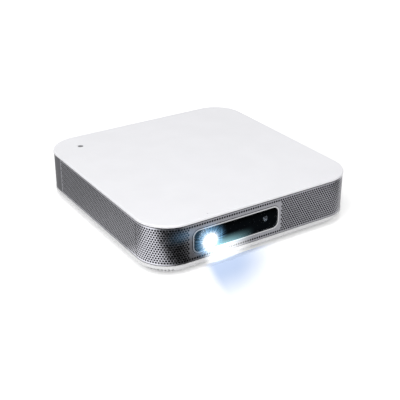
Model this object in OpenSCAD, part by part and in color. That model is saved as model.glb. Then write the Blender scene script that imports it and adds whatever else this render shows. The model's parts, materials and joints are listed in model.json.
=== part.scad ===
// Flat portable projector with a slim disc drive in its right side.
// Millimetres. +Z is up, the projection window faces -Y and the disc tray slides out along +X.
// The origin is on the floor, under the middle of the case.

/* [Case] */
// Overall width of the case, left to right
body_w = 195; // [195:1:240]
// Overall depth of the case, front to back
body_d = 198; // [198:1:240]
// Overall height, rubber feet included
body_h = 44; // [44:0.5:56]
// Radius of the vertical corners
corner_r = 28; // [24:0.5:32]
// Visible thickness of the top cover
top_t = 2; // [1.6:0.1:3]
// Rounding of the top cover's upper edge
edge_r = 1.2; // [0.6:0.1:1.5]
// Wall of the base pan
pan_t = 2; // [1.6:0.1:2.4]
// Height of the sloping lower edge of the base pan
chamfer_h = 5.7; // [4:0.1:7]
// How far the base pan's flat underside is set in from its rim
chamfer_in = 6; // [4:0.1:8]
// Height of the vertical rim of the base pan
rim_h = 2.2; // [1.6:0.1:3]
// Shadow gap between the grille and the top cover
shadow_gap = 0.7; // [0.4:0.1:1]
// Wall of the inner frame behind the grille
frame_t = 1.6; // [1.4:0.1:2]
// Depth of the top cover's locating skirt
skirt_h = 2.6; // [2:0.1:3]

/* [Grille] */
// Thickness of the perforated sheet
grille_t = 1; // [0.6:0.1:1.2]
// How far the grille sits inside the outline of the case
grille_in = 0.5; // [0.3:0.1:1]
// Diameter of one grille hole
hole_d = 1.3; // [1:0.05:1.5]
// Distance between neighbouring grille holes
hole_pitch = 2.24; // [2.24:0.02:4]
// Plain strip above the top row and below the bottom row, to the holes' centres
hole_margin = 2.2; // [1.6:0.1:4]
// Plain strip round the window and the tray opening, to the holes' centres
plain_rim = 2.6; // [1.4:0.1:4]
// Distance from the rear corner's start to the seam of the rear cover
seam_step = 6.2; // [4:0.1:12]

/* [Window] */
// Width of the opening inside the silver ring
window_w = 78.6; // [76:0.2:80]
// Height of the opening inside the silver ring
window_h = 18; // [17.6:0.1:19]
// Corner radius of that opening
window_r = 5; // [3:0.1:8]
// Width of the silver line round the window
ring_w = 1.1; // [0.8:0.1:2]
// How far the ring stands out of the grille
ring_out = 0.4; // [0.1:0.1:0.5]
// Thickness of the window glass
glass_t = 1.5; // [1:0.1:2]
// Width of the lens bay behind the glass
bay_w = 21; // [20:0.1:22]

/* [Lens] */
// Outer diameter of the lens barrel
barrel_d = 16.4; // [15.6:0.1:16.6]
// Wall of the lens barrel
barrel_t = 1; // [0.8:0.1:1.2]
// Wall of the fixed tube round the barrel
mount_t = 2; // [1.8:0.1:2.2]
// Teeth on the focus ring
ring_teeth = 54; // [54:2:58]
// Teeth on the focus pinion
pinion_teeth = 12; // [12:1:14]
// Module of the focus gears
gear_module = 0.5; // [0.5:0.01:0.52]
// Width of the focus ring
gear_w = 5; // [3:0.5:6]

/* [Disc drive] */
// Width of the disc drive
drive_w = 128; // [128:0.5:130]
// Depth of the drive's metal case
drive_l = 124; // [124:0.5:126]
// Height of the disc drive
drive_h = 12.7; // [12.7:0.1:13.5]
// Sheet thickness of the drive's case and lid
sheet_t = 0.8; // [0.6:0.1:1]
// Diameter of the disc well in the tray
well_d = 120.6; // [120.4:0.1:121]
// Depth of the disc well
well_depth = 1.8; // [1.4:0.1:2]
// Thickness of the tray bezel, front to back
bezel_t = 5.2; // [5:0.1:6]
// Angle of the pickup's path from the tray's length
sled_angle = -45; // [-47:1:-43]
// Distance from the spindle to the pickup lens at the disc's innermost track
sled_home = 24; // [23.5:0.1:25]
// Travel of the pickup sled
sled_travel = 34; // [30:0.5:35]

/* [Cooling and sound] */
// Side of the square exhaust fan
fan_size = 30; // [30:0.5:32]
// Thickness of the exhaust fan
fan_t = 10; // [8:0.5:10]
// Side of the square blower
blower_size = 50; // [45:1:52]
// Thickness of the blower
blower_t = 15; // [12:0.5:16]
// Diameter of one heat pipe
pipe_d = 6; // [5:0.1:6.4]
// Diameter of a speaker cone
cone_d = 26; // [22:0.5:27]

/* [Hidden] */
$fn = 48;

// Clearances
fit = 0.05;         // radial play of a shaft or pipe in its hole
slip = 0.15;        // play of a part that drops into another
gap = 0.3;          // air between parts that don't carry each other
over = 1;           // how far a cutting tool runs past what it cuts

// Levels
foot_h = 1.5;
foot_sunk = 1;
pan_z = foot_h;
rim_z = pan_z + chamfer_h;
rim_top = rim_z + rim_h;
plate_z = body_h - top_t;
floor_z = pan_z + pan_t;
band_z0 = rim_top + gap;
band_z1 = plate_z - shadow_gap;
band_mid = (band_z0 + band_z1) / 2;

// Layers of the side wall, as distances in from the outline of the case
grille_back = grille_in + grille_t;
frame_in = grille_back + gap;
frame_back = frame_in + frame_t;
skirt_in = frame_back + slip;
skirt_t = 1.5;
lip_t = frame_t - 0.3;
side_x = body_w / 2 - frame_back;
front_y = -(body_d / 2 - frame_back);
rear_y = body_d / 2 - frame_back;
seam_y = body_d / 2 - corner_r - seam_step;

// Case fasteners and feet
screw_inset = 16.5;
screw_d = 3;
head_d = 5.5;
head_h = 3;
screw_l = 13;
post_d = 9;
boss_d = 7;
post_z = 20;
web_t = 3;
foot_inset = 24;
foot_d = 14;
mic_d = 1.2;
tripod_y = -50;
tripod_l = 8;
tripod_d = 9.5;
tripod_minor_d = 5.2;

// Corners of the case, as signs, with the turn that takes a +X +Y corner there
CORNERS = [[1, 1, 0], [-1, 1, 90], [-1, -1, 180], [1, -1, 270]];

// Grille pattern: s runs round the case from the middle of the front
band_w = body_w - 2 * grille_in;
band_d = body_d - 2 * grille_in;
band_r = corner_r - grille_in;
row_step = hole_pitch * sin(60);
hole_rows = floor((band_z1 - band_z0 - 2 * hole_margin) / row_step) + 1;
row_z = band_mid - (hole_rows - 1) * row_step / 2;
pattern_shift = 0.335;
half_front = band_w / 2 - band_r;
arc_len = PI * band_r / 2;
turn_s = half_front + arc_len;
edge_steps = ceil((turn_s + pattern_shift) / hole_pitch);
left_seam_s = edge_steps * hole_pitch - pattern_shift;
right_seam_s = edge_steps * hole_pitch + pattern_shift;
last_s = turn_s + seam_y + band_d / 2 - band_r - hole_margin;

// Window and lens
window_x = -body_w / 2 + 73.5;
window_z = band_mid + 0.1;
ring_outer_w = window_w + 2 * ring_w;
ring_outer_h = window_h + 2 * ring_w;
ring_y = -(body_d / 2 - grille_in) - ring_out;
flange_w = 2;
flange_t = 1.1;
flange_y = -(body_d / 2 - grille_back) + gap;
boss_rim = 3;
boss_y1 = front_y + 2;
glass_y = ring_y + 0.7;
mask_y = glass_y + glass_t;
mask_t = 1.5;
mask_flange_t = 1;
bay_x = window_x - window_w / 2 + 11.3;
bay_rim = 0.8;
camera_x = window_x + 28.6;
camera_d = 5;
sensor_x = window_x + 17;
sensor_d = 2;
lens_x = bay_x + 4;
lens_z = window_z - 0.2;
barrel_y0 = front_y + 1.4;
barrel_l = 26;
mount_y1 = front_y + 28.1;
mount_l = 19.5;
mount_flange_t = 2.5;
engine_y0 = mount_y1 + mount_flange_t;
mount_r = barrel_d / 2 + fit + mount_t;
gear_y1 = front_y + 17.5;
gear_gap = 0.08;
ring_pitch_r = ring_teeth * gear_module / 2;
pinion_pitch_r = pinion_teeth * gear_module / 2;
pinion_x = lens_x + ring_pitch_r + pinion_pitch_r + gear_gap;
motor_d = min(10, 2 * (pinion_x - lens_x - mount_r - gap));
shaft_d = 1.5;
motor_y0 = gear_y1 + 1;
front_lens_t = 4;
front_lens_curve = 16;
rear_lens_t = 3;
seat_t = 1;

// Light engine and its cooling
engine_w = 34;
engine_x0 = lens_x - 22;
engine_x1 = engine_x0 + engine_w;
engine_l = 70;
engine_y1 = engine_y0 + engine_l;
engine_z0 = lens_z - 19;
engine_z1 = lens_z + 13;
board_t = 1.6;
block_w = 8;
block_l = 16;
block_x = engine_x0 - block_w / 2;
block_y = [engine_y0 + 24, engine_y0 + 50];
pipe_z = [lens_z - 9, lens_z + 5];
fan_y = rear_y - 55.6;
fan_z = fan_size / 2 + 7.5;
fan_hole_d = fan_size - 3;
hub_d = 13;
pipe_y0 = block_y[0] - block_l / 2 - 2;
pipe_y1 = fan_y + fan_size / 2 + 2;
fin_x0 = -side_x + fan_t + 1;
fin_w = 17;
fin_t = 0.5;
fin_pitch = 2.5;
fin_count = floor(fan_size / fin_pitch) + 1;
fin_z0 = fan_z - fan_size / 2 + 0.5;
fin_z1 = fan_z + fan_size / 2 + 0.5;

// Disc drive, held against the right side of the frame
drive_x1 = side_x - 2.1;
drive_x0 = drive_x1 - drive_l;
drive_z1 = plate_z - 3.3;
drive_z0 = drive_z1 - drive_h;
rail_t = 1.8;
rail_h = 5;
rail_web = 0.6;     // back of the rail's channel
rail_lip = 0.7;     // upper and lower lips of the channel
rail_z = drive_z0 + 2.5;
tray_key = 1;
key_h = 2.6;
key_l = 44;
key_z = rail_z + rail_h / 2;
small_well_d = 80.6;
small_well_depth = 0.6;
rail_y = drive_w / 2 - sheet_t - gap - rail_t;
tray_y = rail_y - gap;
tray_x0 = drive_x0 + sheet_t + 0.6;
tray_z0 = drive_z0 + 1.4;
tray_z1 = drive_z0 + 9.4;
tray_wall = 2.5;
tray_deck = 1.8;
disc_x = drive_x1 - well_d / 2 - 0.7;
deck_z = tray_z1 - well_depth - tray_deck;
bezel_x1 = drive_x1 + bezel_t - 0.2;
bezel_y = drive_w / 2 - 0.3;
bezel_z0 = drive_z0 + 0.3;
bezel_z1 = drive_z1 - 0.3;
bezel_wall = 1.8;
tray_hole_gap = 0.5;
eject_y = 38;
eject_w = 11;
eject_h = 3.2;
eject_r = 1.2;
pin_hole_y = 26;
busy_y = 50;
keyhole_d = 30.4;
slot_w = 28;
slot_end = sled_home + sled_travel + 7;
plate_t = 0.9;
rod_d = 2.4;
rod_v = 12;
rod_z = deck_z - plate_t - 1.6;
rod_u0 = sled_home - 11;
rod_u1 = slot_end + 1;
screw_v = -16.2;
lead_d = 2.2;
lead_u1 = sled_home + sled_travel + 2;
sled_l = 13;
sled_w = 27;
sled_motor_l = 9;
sled_motor_u = -2;
nut_w = 2;
lead_core_r = 0.8;
spindle_r = 1.5;

// Boards, sockets, speakers
main_z = floor_z + 6.9;
main_y1 = rear_y - 2.6;
main_y0 = main_y1 - 53;
main_x0 = drive_x0 + 9;
main_x1 = main_x0 + 99;
power_x1 = side_x - 6;
power_x0 = power_x1 - 56;
power_y0 = -54;
power_y1 = 32;
main_top = main_z + board_t;
socket_y = body_d / 2 - grille_in - 0.5;
rear_cover_t = 1.2;
dc_x = main_x0 + 88;
hdmi_x = main_x0 + 64;
usb_x = main_x0 + 42;
audio_x = main_x0 + 22;
audio_hole_d = 3.6;
hdmi_w = 14;
hdmi_h = 4.6;
hdmi_slope = 1.3;
sheet = 0.5;        // shell of the metal sockets
audio_l = 12;
cable_y0 = 47;
cable_y1 = 58;
cable_socket_h = 1.6;
speaker_depth = 13.5;
speaker_face = 2;
left_speaker_l = 34;
left_speaker_y = -body_d / 2 + corner_r + left_speaker_l / 2;
right_speaker_l = 44;
right_speaker_x = body_w / 2 - corner_r - right_speaker_l / 2 - 1.5;
speaker_z0 = 9;
speaker_z1 = 38;
speaker_z = (speaker_z0 + speaker_z1) / 2;
cone_gap = 0.5;
blower_x = -5;
blower_y = -5;
blower_z = floor_z + 2;
blower_hole_d = blower_size - 18;
button_x = -body_w / 2 + 25.7;
button_y = body_d / 2 - 23.5;
button_d = 4.8;
button_travel = 0.8;
button_board_z = plate_z - 10.6;
mic_x = lens_x - 0.3;
mic_y = -body_d / 2 + 5.1;

// ---------- shared shapes ----------

// A box between two opposite corners
module block(a, b) {
    translate(a) cube(b - a);
}

module rod_x(x0, x1, y, z, r) {
    translate([x0, y, z]) rotate([0, 90, 0]) cylinder(r = r, h = x1 - x0);
}

module rod_y(x, y0, y1, z, r) {
    translate([x, y1, z]) rotate([90, 0, 0]) cylinder(r = r, h = y1 - y0);
}

module rod_z(x, y, z0, z1, r) {
    translate([x, y, z0]) cylinder(r = r, h = z1 - z0);
}

module rounded_rect(w, d, r) {
    square([w - 2 * r, d], center = true);
    square([w, d - 2 * r], center = true);
    for (sx = [-1, 1], sy = [-1, 1])
        translate([sx * (w / 2 - r), sy * (d / 2 - r)]) circle(r);
}

// A box with upright rounded edges, between two opposite corners
module round_block(a, b, r) {
    translate([(a[0] + b[0]) / 2, (a[1] + b[1]) / 2, a[2]])
        linear_extrude(b[2] - a[2]) rounded_rect(b[0] - a[0], b[1] - a[1], r);
}

// A bar along X with rounded long edges, w wide and h high about its middle
module bar_x(x0, x1, y, z, w, h, r) {
    translate([x0, y, z]) rotate([90, 0, 90]) linear_extrude(x1 - x0) rounded_rect(w, h, r);
}

// A slab with the outline of the case, set in from it on every side
module case_slab(inset, z0, z1) {
    translate([0, 0, z0])
        linear_extrude(z1 - z0)
            rounded_rect(body_w - 2 * inset, body_d - 2 * inset, corner_r - inset);
}

// A closed wall that follows the outline of the case
module case_wall(inset, t, z0, z1) {
    difference() {
        case_slab(inset, z0, z1);
        case_slab(inset + t, z0 - over, z1 + over);
    }
}

// A slab whose sides slope out from the bottom to the top
module sloped_slab(inset, slope_in, z0, z1) {
    w = body_w - 2 * inset;
    d = body_d - 2 * inset;
    r = corner_r - inset;
    h = z1 - z0;
    translate([0, 0, z0]) {
        for (c = CORNERS)
            translate([c[0] * (w / 2 - r), c[1] * (d / 2 - r), 0])
                cylinder(r1 = r - slope_in, r2 = r, h = h);
        sloped_bar(w, d - 2 * r, slope_in, h);
        rotate([0, 0, 90]) sloped_bar(d, w - 2 * r, slope_in, h);
    }
}

module sloped_bar(w, length, slope_in, h) {
    rotate([90, 0, 0])
        linear_extrude(length, center = true)
            polygon([[-w / 2 + slope_in, 0], [w / 2 - slope_in, 0], [w / 2, h], [-w / 2, h]]);
}

// A prism with the window's outline, grown by grow on every side
module window_prism(grow, y0, y1) {
    translate([window_x, y1, window_z])
        rotate([90, 0, 0])
            linear_extrude(y1 - y0)
                rounded_rect(window_w + 2 * grow, window_h + 2 * grow, window_r + grow);
}

// An upright slot with round ends, cut through the rear wall
module rear_slot(x, z0, z1, w) {
    y0 = rear_y - over;
    y1 = body_d / 2 + over;
    block([x - w / 2, y0, z0 + w / 2], [x + w / 2, y1, z1 - w / 2]);
    for (z = [z0 + w / 2, z1 - w / 2]) rod_y(x, y0, y1, z, w / 2);
}

// Polar angle of an involute above its base circle, at radius r
function involute_angle(base_r, r) =
    let (turn = acos(min(1, base_r / r))) tan(turn) * 180 / PI - turn;

// Outline of a spur gear with a tooth centred on angle 0
function gear_outline(teeth, side_gap) =
    let (
        pitch_r = teeth * gear_module / 2,
        base_r = pitch_r * cos(20),
        tip_r = pitch_r + gear_module,
        root_r = pitch_r - 1.25 * gear_module,
        half = 90 / teeth + involute_angle(base_r, pitch_r) - side_gap / pitch_r * 90 / PI,
        radii = [root_r, max(base_r, root_r + 0.01), pitch_r, tip_r]
    )
    [
        for (tooth = [0 : teeth - 1])
            for (step = [0 : 7])
                let (
                    side = step < 4 ? -1 : 1,
                    r = radii[step < 4 ? step : 7 - step],
                    a = tooth * 360 / teeth + side * (half - involute_angle(base_r, max(r, base_r)))
                )
                r * [cos(a), sin(a)]
    ];

// A gear on an axis along Y
module gear_y(x, y0, y1, z, teeth, turn) {
    translate([x, y1, z])
        rotate([90, 0, 0])
            rotate([0, 0, turn])
                linear_extrude(y1 - y0) polygon(gear_outline(teeth, 0.04));
}

// Places children in the pickup's own frame: +X from the spindle outwards along its path
module along_sled() {
    translate([disc_x, 0, 0]) rotate([0, 0, sled_angle]) children();
}

// ---------- case ----------

// Section through the edge of the top cover
module cover_section() {
    square([corner_r, top_t - edge_r]);
    square([corner_r - edge_r, top_t]);
    intersection() {
        translate([corner_r - edge_r, top_t - edge_r]) circle(edge_r);
        square([corner_r, top_t]);
    }
}

module cover_plate() {
    flat_w = body_w - 2 * corner_r;
    flat_d = body_d - 2 * corner_r;
    block([-flat_w / 2, -flat_d / 2, 0], [flat_w / 2, flat_d / 2, top_t]);
    for (c = CORNERS)
        translate([c[0] * flat_w / 2, c[1] * flat_d / 2, 0])
            rotate([0, 0, c[2]]) rotate_extrude(angle = 90) cover_section();
    for (side = [0, 1]) {
        mirror([side, 0, 0])
            translate([flat_w / 2, 0, 0])
                rotate([90, 0, 0]) linear_extrude(flat_d, center = true) cover_section();
        mirror([0, side, 0])
            rotate([0, 0, 90])
                translate([flat_d / 2, 0, 0])
                    rotate([90, 0, 0]) linear_extrude(flat_w, center = true) cover_section();
    }
}

module at_screws() {
    for (c = CORNERS)
        translate([c[0] * (body_w / 2 - screw_inset), c[1] * (body_d / 2 - screw_inset), 0])
            children();
}

module top_cover() {
    rib_h = 1.2;
    rib_step = 19.5;
    color([0.93, 0.93, 0.95])
    difference() {
        union() {
            translate([0, 0, plate_z]) cover_plate();
            case_wall(skirt_in, skirt_t, plate_z - skirt_h, plate_z);
            at_screws() rod_z(0, 0, post_z + gap, plate_z, boss_d / 2);
            for (y = [-4.5, 4.5])
                rod_z(button_x + 9.5, button_y + y, button_board_z + board_t, plate_z, 2);
            // Low ribs stiffen the plate from below
            for (y = [-3 : 2 : 3])
                block([-side_x + 10, y * rib_step - 0.6, plate_z - rib_h],
                    [side_x - 10, y * rib_step + 0.6, plate_z + rib_h]);
            for (x = [-3 : 2 : 3])
                block([x * rib_step - 0.6, front_y + 12, plate_z - rib_h],
                    [x * rib_step + 0.6, rear_y - 12, plate_z + rib_h]);
        }
        at_screws() rod_z(0, 0, post_z, plate_z - 8, screw_d / 2 - fit);
        rod_z(button_x, button_y, plate_z - over, body_h + over, button_d / 2 + 0.1);
        rod_z(mic_x, mic_y, plate_z - skirt_h - over, body_h + over, mic_d / 2);
        // The skirt makes room for the window boss of the inner frame
        window_prism(ring_w + flange_w + boss_rim + slip, front_y - over, boss_y1 + over);
    }
}

// Vent slots that cross the sloping edge at one corner
module corner_vents() {
    vents = 8;
    vent_step = 6.2;
    translate([body_w / 2 - corner_r, body_d / 2 - corner_r, 0])
        for (i = [0 : vents - 1])
            rotate([0, 0, 45 + (i - (vents - 1) / 2) * vent_step])
                block([corner_r - 6, -0.7, rim_z - 3.4], [corner_r + over, 0.7, rim_z - 1]);
}

module base_pan() {
    slope = chamfer_in / chamfer_h;
    inner_top = rim_z + 0.8;
    intake_slots = 11;
    intake_step = 4;
    color([0.95, 0.95, 0.96])
    difference() {
        union() {
            difference() {
                union() {
                    sloped_slab(0, chamfer_in, pan_z, rim_z);
                    case_slab(0, rim_z, rim_top);
                }
                sloped_slab(pan_t, (inner_top - floor_z) * slope, floor_z, inner_top);
                case_slab(pan_t, inner_top, rim_top + over);
            }
            at_screws() rod_z(0, 0, floor_z - over, post_z, post_d / 2);
            rod_z(0, tripod_y, floor_z - over, pan_z + tripod_l + 2, 7);
            // Posts under the disc drive
            for (x = [drive_x0 + 5, drive_x1 - 9], y = [-1, 1] * (drive_w / 2 - 2.5))
                rod_z(x, y, floor_z - over, drive_z0, 2.5);
            // Posts under the main board and the power board
            for (x = [main_x0 + 5, main_x1 - 4], y = [main_y0 + 4, main_y1 - 4])
                rod_z(x, y, floor_z - over, main_z, 2.5);
            for (x = [power_x0 + 4, power_x1 - 4], y = [power_y0 + 8, power_y1 - 4])
                rod_z(x, y, floor_z - over, main_z, 2.5);
            // Posts under the light engine
            for (x = [engine_x0 + 5, engine_x1 - 5], y = [engine_y0 + 6, engine_y1 - 8])
                rod_z(x, y, floor_z - over, engine_z0, 3);
            // Posts under the blower
            for (x = [-1, 1], y = [-1, 1])
                rod_z(blower_x + x * (blower_size / 2 - 3), blower_y + y * (blower_size / 2 - 3),
                    floor_z - over, blower_z, 2.2);
            // Ledges under the fin stack and under both speakers
            for (y = [fan_y - fan_size / 2 + 2, fan_y + fan_size / 2 - 4])
                block([fin_x0 + 2, y, floor_z - over], [fin_x0 + fin_w - 2, y + 2, fin_z0]);
            block([-side_x + 5, left_speaker_y - 10, floor_z - over],
                [-side_x + speaker_depth - 2, left_speaker_y + 10, speaker_z0]);
            block([right_speaker_x - 14, front_y + 6, floor_z - over],
                [right_speaker_x + 14, front_y + 20, speaker_z0]);
        }
        at_screws() {
            rod_z(0, 0, pan_z - over, post_z - web_t, head_d / 2 + 0.25);
            rod_z(0, 0, pan_z, post_z + over, screw_d / 2 + 0.2);
        }
        at_feet() rod_z(0, 0, pan_z - over, pan_z + foot_sunk, foot_d / 2 + slip);
        hexagon(pan_z - over, pan_z + tripod_l, tripod_d + 2 * fit);
        rod_z(0, tripod_y, pan_z - over, pan_z + 1, tripod_d / 2 + 1.5 + fit);
        for (i = [0 : intake_slots - 1])
            block([blower_x + (i - (intake_slots - 1) / 2) * intake_step - 0.9, blower_y - 19,
                    pan_z - over],
                [blower_x + (i - (intake_slots - 1) / 2) * intake_step + 0.9, blower_y + 19,
                    floor_z + over]);
        for (c = CORNERS)
            mirror([c[0] < 0 ? 1 : 0, 0, 0]) mirror([0, c[1] < 0 ? 1 : 0, 0]) corner_vents();
    }
}

// The way of the disc tray through the right side
module tray_opening() {
    block([side_x - over, -bezel_y - tray_hole_gap, bezel_z0 - tray_hole_gap],
        [body_w / 2 + over, bezel_y + tray_hole_gap, bezel_z1 + tray_hole_gap]);
}

module inner_frame() {
    vent_h = 22;
    color([0.12, 0.12, 0.13])
    difference() {
        union() {
            case_wall(frame_in, frame_t, rim_top, plate_z);
            case_wall(pan_t + slip, lip_t, rim_z + 0.9, rim_top);
            window_prism(ring_w + flange_w + boss_rim, front_y - frame_t / 2, boss_y1);
        }
        // Window: a seat for the ring's flange, and the way through for the mask
        window_prism(ring_w + flange_w + slip, -body_d / 2, flange_y + flange_t);
        window_prism(0.3, -body_d / 2, boss_y1 + over);
        // Speakers and exhaust fan
        rod_x(-body_w / 2, -side_x + over, left_speaker_y, speaker_z, cone_d / 2 + 1);
        rod_y(right_speaker_x, -body_d / 2, front_y + over, speaker_z, cone_d / 2 + 1);
        rod_x(-body_w / 2, -side_x + over, fan_y, fan_z, fan_hole_d / 2);
        // Way of the lens barrel, where it is wider than the window
        rod_y(lens_x, front_y - over, boss_y1 + over, lens_z, barrel_d / 2 + gap);
        tray_opening();
        // Air slots
        for (y = [-22 : 6 : 14])
            block([-body_w / 2, y - 1.5, band_mid - vent_h / 2],
                [-side_x + over, y + 1.5, band_mid + vent_h / 2]);
        for (y = [-48 : 8 : 48])
            block([side_x - over, y - 2, rim_top + 3], [body_w / 2, y + 2, bezel_z0 - 4]);
        for (i = [0 : 9]) rear_slot(-body_w / 2 + 36 + i * 4.4, 14, 36, 2.2);
        // Sockets
        block([audio_x - 6, rear_y - over, main_top - 1.4], [dc_x + 8, body_d / 2, main_top + 12.6]);
    }
}

// ---------- perforated grille ----------

// Where a hole at distance s round the case lies, and which way it faces
function grille_place(s) =
    let (a = abs(s), side = sign(s))
    a <= half_front ? [s, -band_d / 2, 0] :
    a <= turn_s ?
        let (turn = (a - half_front) / band_r * 180 / PI)
        [side * (half_front + band_r * sin(turn)), -band_d / 2 + band_r * (1 - cos(turn)),
            side * turn] :
    [side * band_w / 2, -band_d / 2 + band_r + a - turn_s, side * 90];

function near_window(s, z) =
    abs(s - window_x) < ring_outer_w / 2 + plain_rim
    && abs(z - window_z) < ring_outer_h / 2 + plain_rim;

function near_tray(s, z) =
    s > turn_s
    && abs(grille_place(s)[1]) < bezel_y + tray_hole_gap + plain_rim
    && abs(z - (bezel_z0 + bezel_z1) / 2) < (bezel_z1 - bezel_z0) / 2 + tray_hole_gap + plain_rim;

// The staggered holes whose centres lie from s0 to s1
module grille_holes(s0, s1) {
    for (row = [0 : hole_rows - 1]) {
        z = row_z + row * row_step;
        shift = pattern_shift + (row % 2) * hole_pitch / 2;
        for (k = [ceil((s0 - shift) / hole_pitch - 0.01) : floor((s1 - shift) / hole_pitch + 0.01)]) {
            s = shift + k * hole_pitch;
            place = grille_place(s);
            if (!near_window(s, z) && !near_tray(s, z))
                translate([place[0], place[1], z])
                    rotate([0, 0, place[2]])
                        rotate([90, 0, 0])
                            cylinder(d = hole_d, h = 4 * grille_t, center = true);
        }
    }
}

// Y of the upright seam between the front grille and a side grille
function side_seam_y(s) = -band_d / 2 + band_r + s - turn_s;

module grille_colour() {
    color([0.62, 0.62, 0.64]) children();
}

module front_grille() {
    grille_colour()
    difference() {
        case_wall(grille_in, grille_t, band_z0, band_z1);
        block([-body_w, side_seam_y(left_seam_s), 0], [0, body_d, body_h]);
        block([-over, side_seam_y(right_seam_s), 0], [body_w, body_d, body_h]);
        window_prism(ring_w + slip, -body_d / 2, -body_d / 2 + grille_back + over);
        grille_holes(-left_seam_s, right_seam_s);
    }
}

module left_grille() {
    grille_colour()
    difference() {
        block([-body_w / 2 + grille_in, side_seam_y(left_seam_s), band_z0],
            [-body_w / 2 + grille_back, seam_y, band_z1]);
        grille_holes(-last_s, -left_seam_s);
    }
}

module right_grille() {
    grille_colour()
    difference() {
        block([body_w / 2 - grille_back, side_seam_y(right_seam_s), band_z0],
            [body_w / 2 - grille_in, seam_y, band_z1]);
        tray_opening();
        grille_holes(right_seam_s, last_s);
    }
}

module rear_cover() {
    hole_y0 = body_d / 2 - grille_in - rear_cover_t - over;
    hole_y1 = body_d / 2;
    color([0.3, 0.3, 0.32])
    difference() {
        case_wall(grille_in, rear_cover_t, band_z0, band_z1);
        block([-body_w, -body_d, 0], [body_w, seam_y + slip, body_h]);
        for (i = [0 : 9]) rear_slot(-body_w / 2 + 36 + i * 4.4, 14, 36, 1.8);
        hdmi_prism(sheet + gap, hole_y0, hole_y1);
        block([usb_x - 7, hole_y0, main_top - 0.3], [usb_x + 7, hole_y1, main_top + 7]);
        rod_y(dc_x, hole_y0, hole_y1, main_top + 5.5, 4.3);
        rod_y(audio_x, hole_y0, hole_y1, main_top + 3, 3.1);
        tray_opening();
    }
}

module at_feet() {
    for (c = CORNERS)
        translate([c[0] * (body_w / 2 - foot_inset), c[1] * (body_d / 2 - foot_inset - 1), 0])
            children();
}

module rubber_feet() {
    color([0.1, 0.1, 0.1])
    at_feet()
        rotate_extrude() {
            square([foot_d / 2 - 0.6, foot_h + foot_sunk]);
            translate([0, 0.6]) square([foot_d / 2, foot_h + foot_sunk - 0.6]);
            translate([foot_d / 2 - 0.6, 0.6]) circle(0.6);
        }
}

module case_screws() {
    head_z = post_z - web_t - head_h;
    color([0.75, 0.75, 0.78])
    at_screws()
        difference() {
            union() {
                rod_z(0, 0, head_z, head_z + head_h, head_d / 2);
                rod_z(0, 0, head_z + head_h, head_z + head_h + screw_l, screw_d / 2 - 2 * fit);
            }
            block([-1.6, -0.4, head_z - over], [1.6, 0.4, head_z + 1.4]);
            block([-0.4, -1.6, head_z - over], [0.4, 1.6, head_z + 1.4]);
        }
}

module tripod_insert() {
    color([0.8, 0.65, 0.35])
    difference() {
        union() {
            rod_z(0, tripod_y, pan_z, pan_z + 1, tripod_d / 2 + 1.5);
            hexagon(pan_z, pan_z + tripod_l, tripod_d);
        }
        rod_z(0, tripod_y, pan_z - over, pan_z + tripod_l + over, tripod_minor_d / 2);
    }
}

// The insert's six-sided body, w across its flats
module hexagon(z0, z1, w) {
    translate([0, tripod_y, z0]) cylinder(d = w / cos(30), h = z1 - z0, $fn = 6);
}

// ---------- window ----------

module window_ring() {
    color([0.82, 0.82, 0.84])
    difference() {
        union() {
            window_prism(ring_w, ring_y, flange_y);
            window_prism(ring_w + flange_w, flange_y, flange_y + flange_t);
        }
        window_prism(0, ring_y - over, flange_y + flange_t + over);
    }
}

module window_glass() {
    color([0.05, 0.05, 0.06, 0.5]) window_prism(-0.1, glass_y, mask_y);
}

module window_mask() {
    color([0.04, 0.04, 0.045])
    difference() {
        union() {
            window_prism(-0.1, mask_y, boss_y1);
            window_prism(2, boss_y1, boss_y1 + mask_flange_t);
        }
        // The mask is a shallow cup behind its front plate
        window_prism(-1.4, mask_y + mask_t, boss_y1 + over + mask_flange_t);
        intersection() {
            window_prism(-bay_rim, mask_y - over, boss_y1);
            block([bay_x - bay_w / 2, mask_y - over, window_z - window_h],
                [bay_x + bay_w / 2, boss_y1, window_z + window_h]);
        }
        // Room for the lens barrel behind the bay
        block([bay_x - bay_w / 2, mask_y + mask_t, window_z - window_h],
            [bay_x + bay_w / 2, boss_y1 + over + mask_flange_t, window_z + window_h]);
        rod_y(camera_x, mask_y - over, boss_y1, window_z - 0.2, camera_d / 2 + 0.2);
        rod_y(sensor_x, mask_y - over, boss_y1, window_z - 0.2, sensor_d / 2);
    }
}

module sensor_board() {
    board_y = boss_y1 + mask_flange_t + gap;
    color([0.05, 0.3, 0.15]) {
        difference() {
            block([sensor_x - 8, board_y, window_z - 8.4], [camera_x + 6, board_y + 1.2, window_z + 8.4]);
            rod_y(camera_x, board_y - over, board_y + over * 2, window_z - 0.2, 3);
        }
        // Round infrared receiver behind the small hole of the mask
        rod_y(sensor_x, mask_y + mask_t + gap, board_y, window_z - 0.2, sensor_d / 2 + 1);
    }
}

module focus_camera() {
    board_y = boss_y1 + mask_flange_t + gap;
    color([0.1, 0.1, 0.12]) {
        rod_y(camera_x, mask_y + 0.4, mask_y + mask_t + 0.5, window_z - 0.2, camera_d / 2);
        rod_y(camera_x, mask_y + mask_t + 0.5, board_y + 3, window_z - 0.2, 2.9);
    }
}

// ---------- lens ----------

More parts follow.
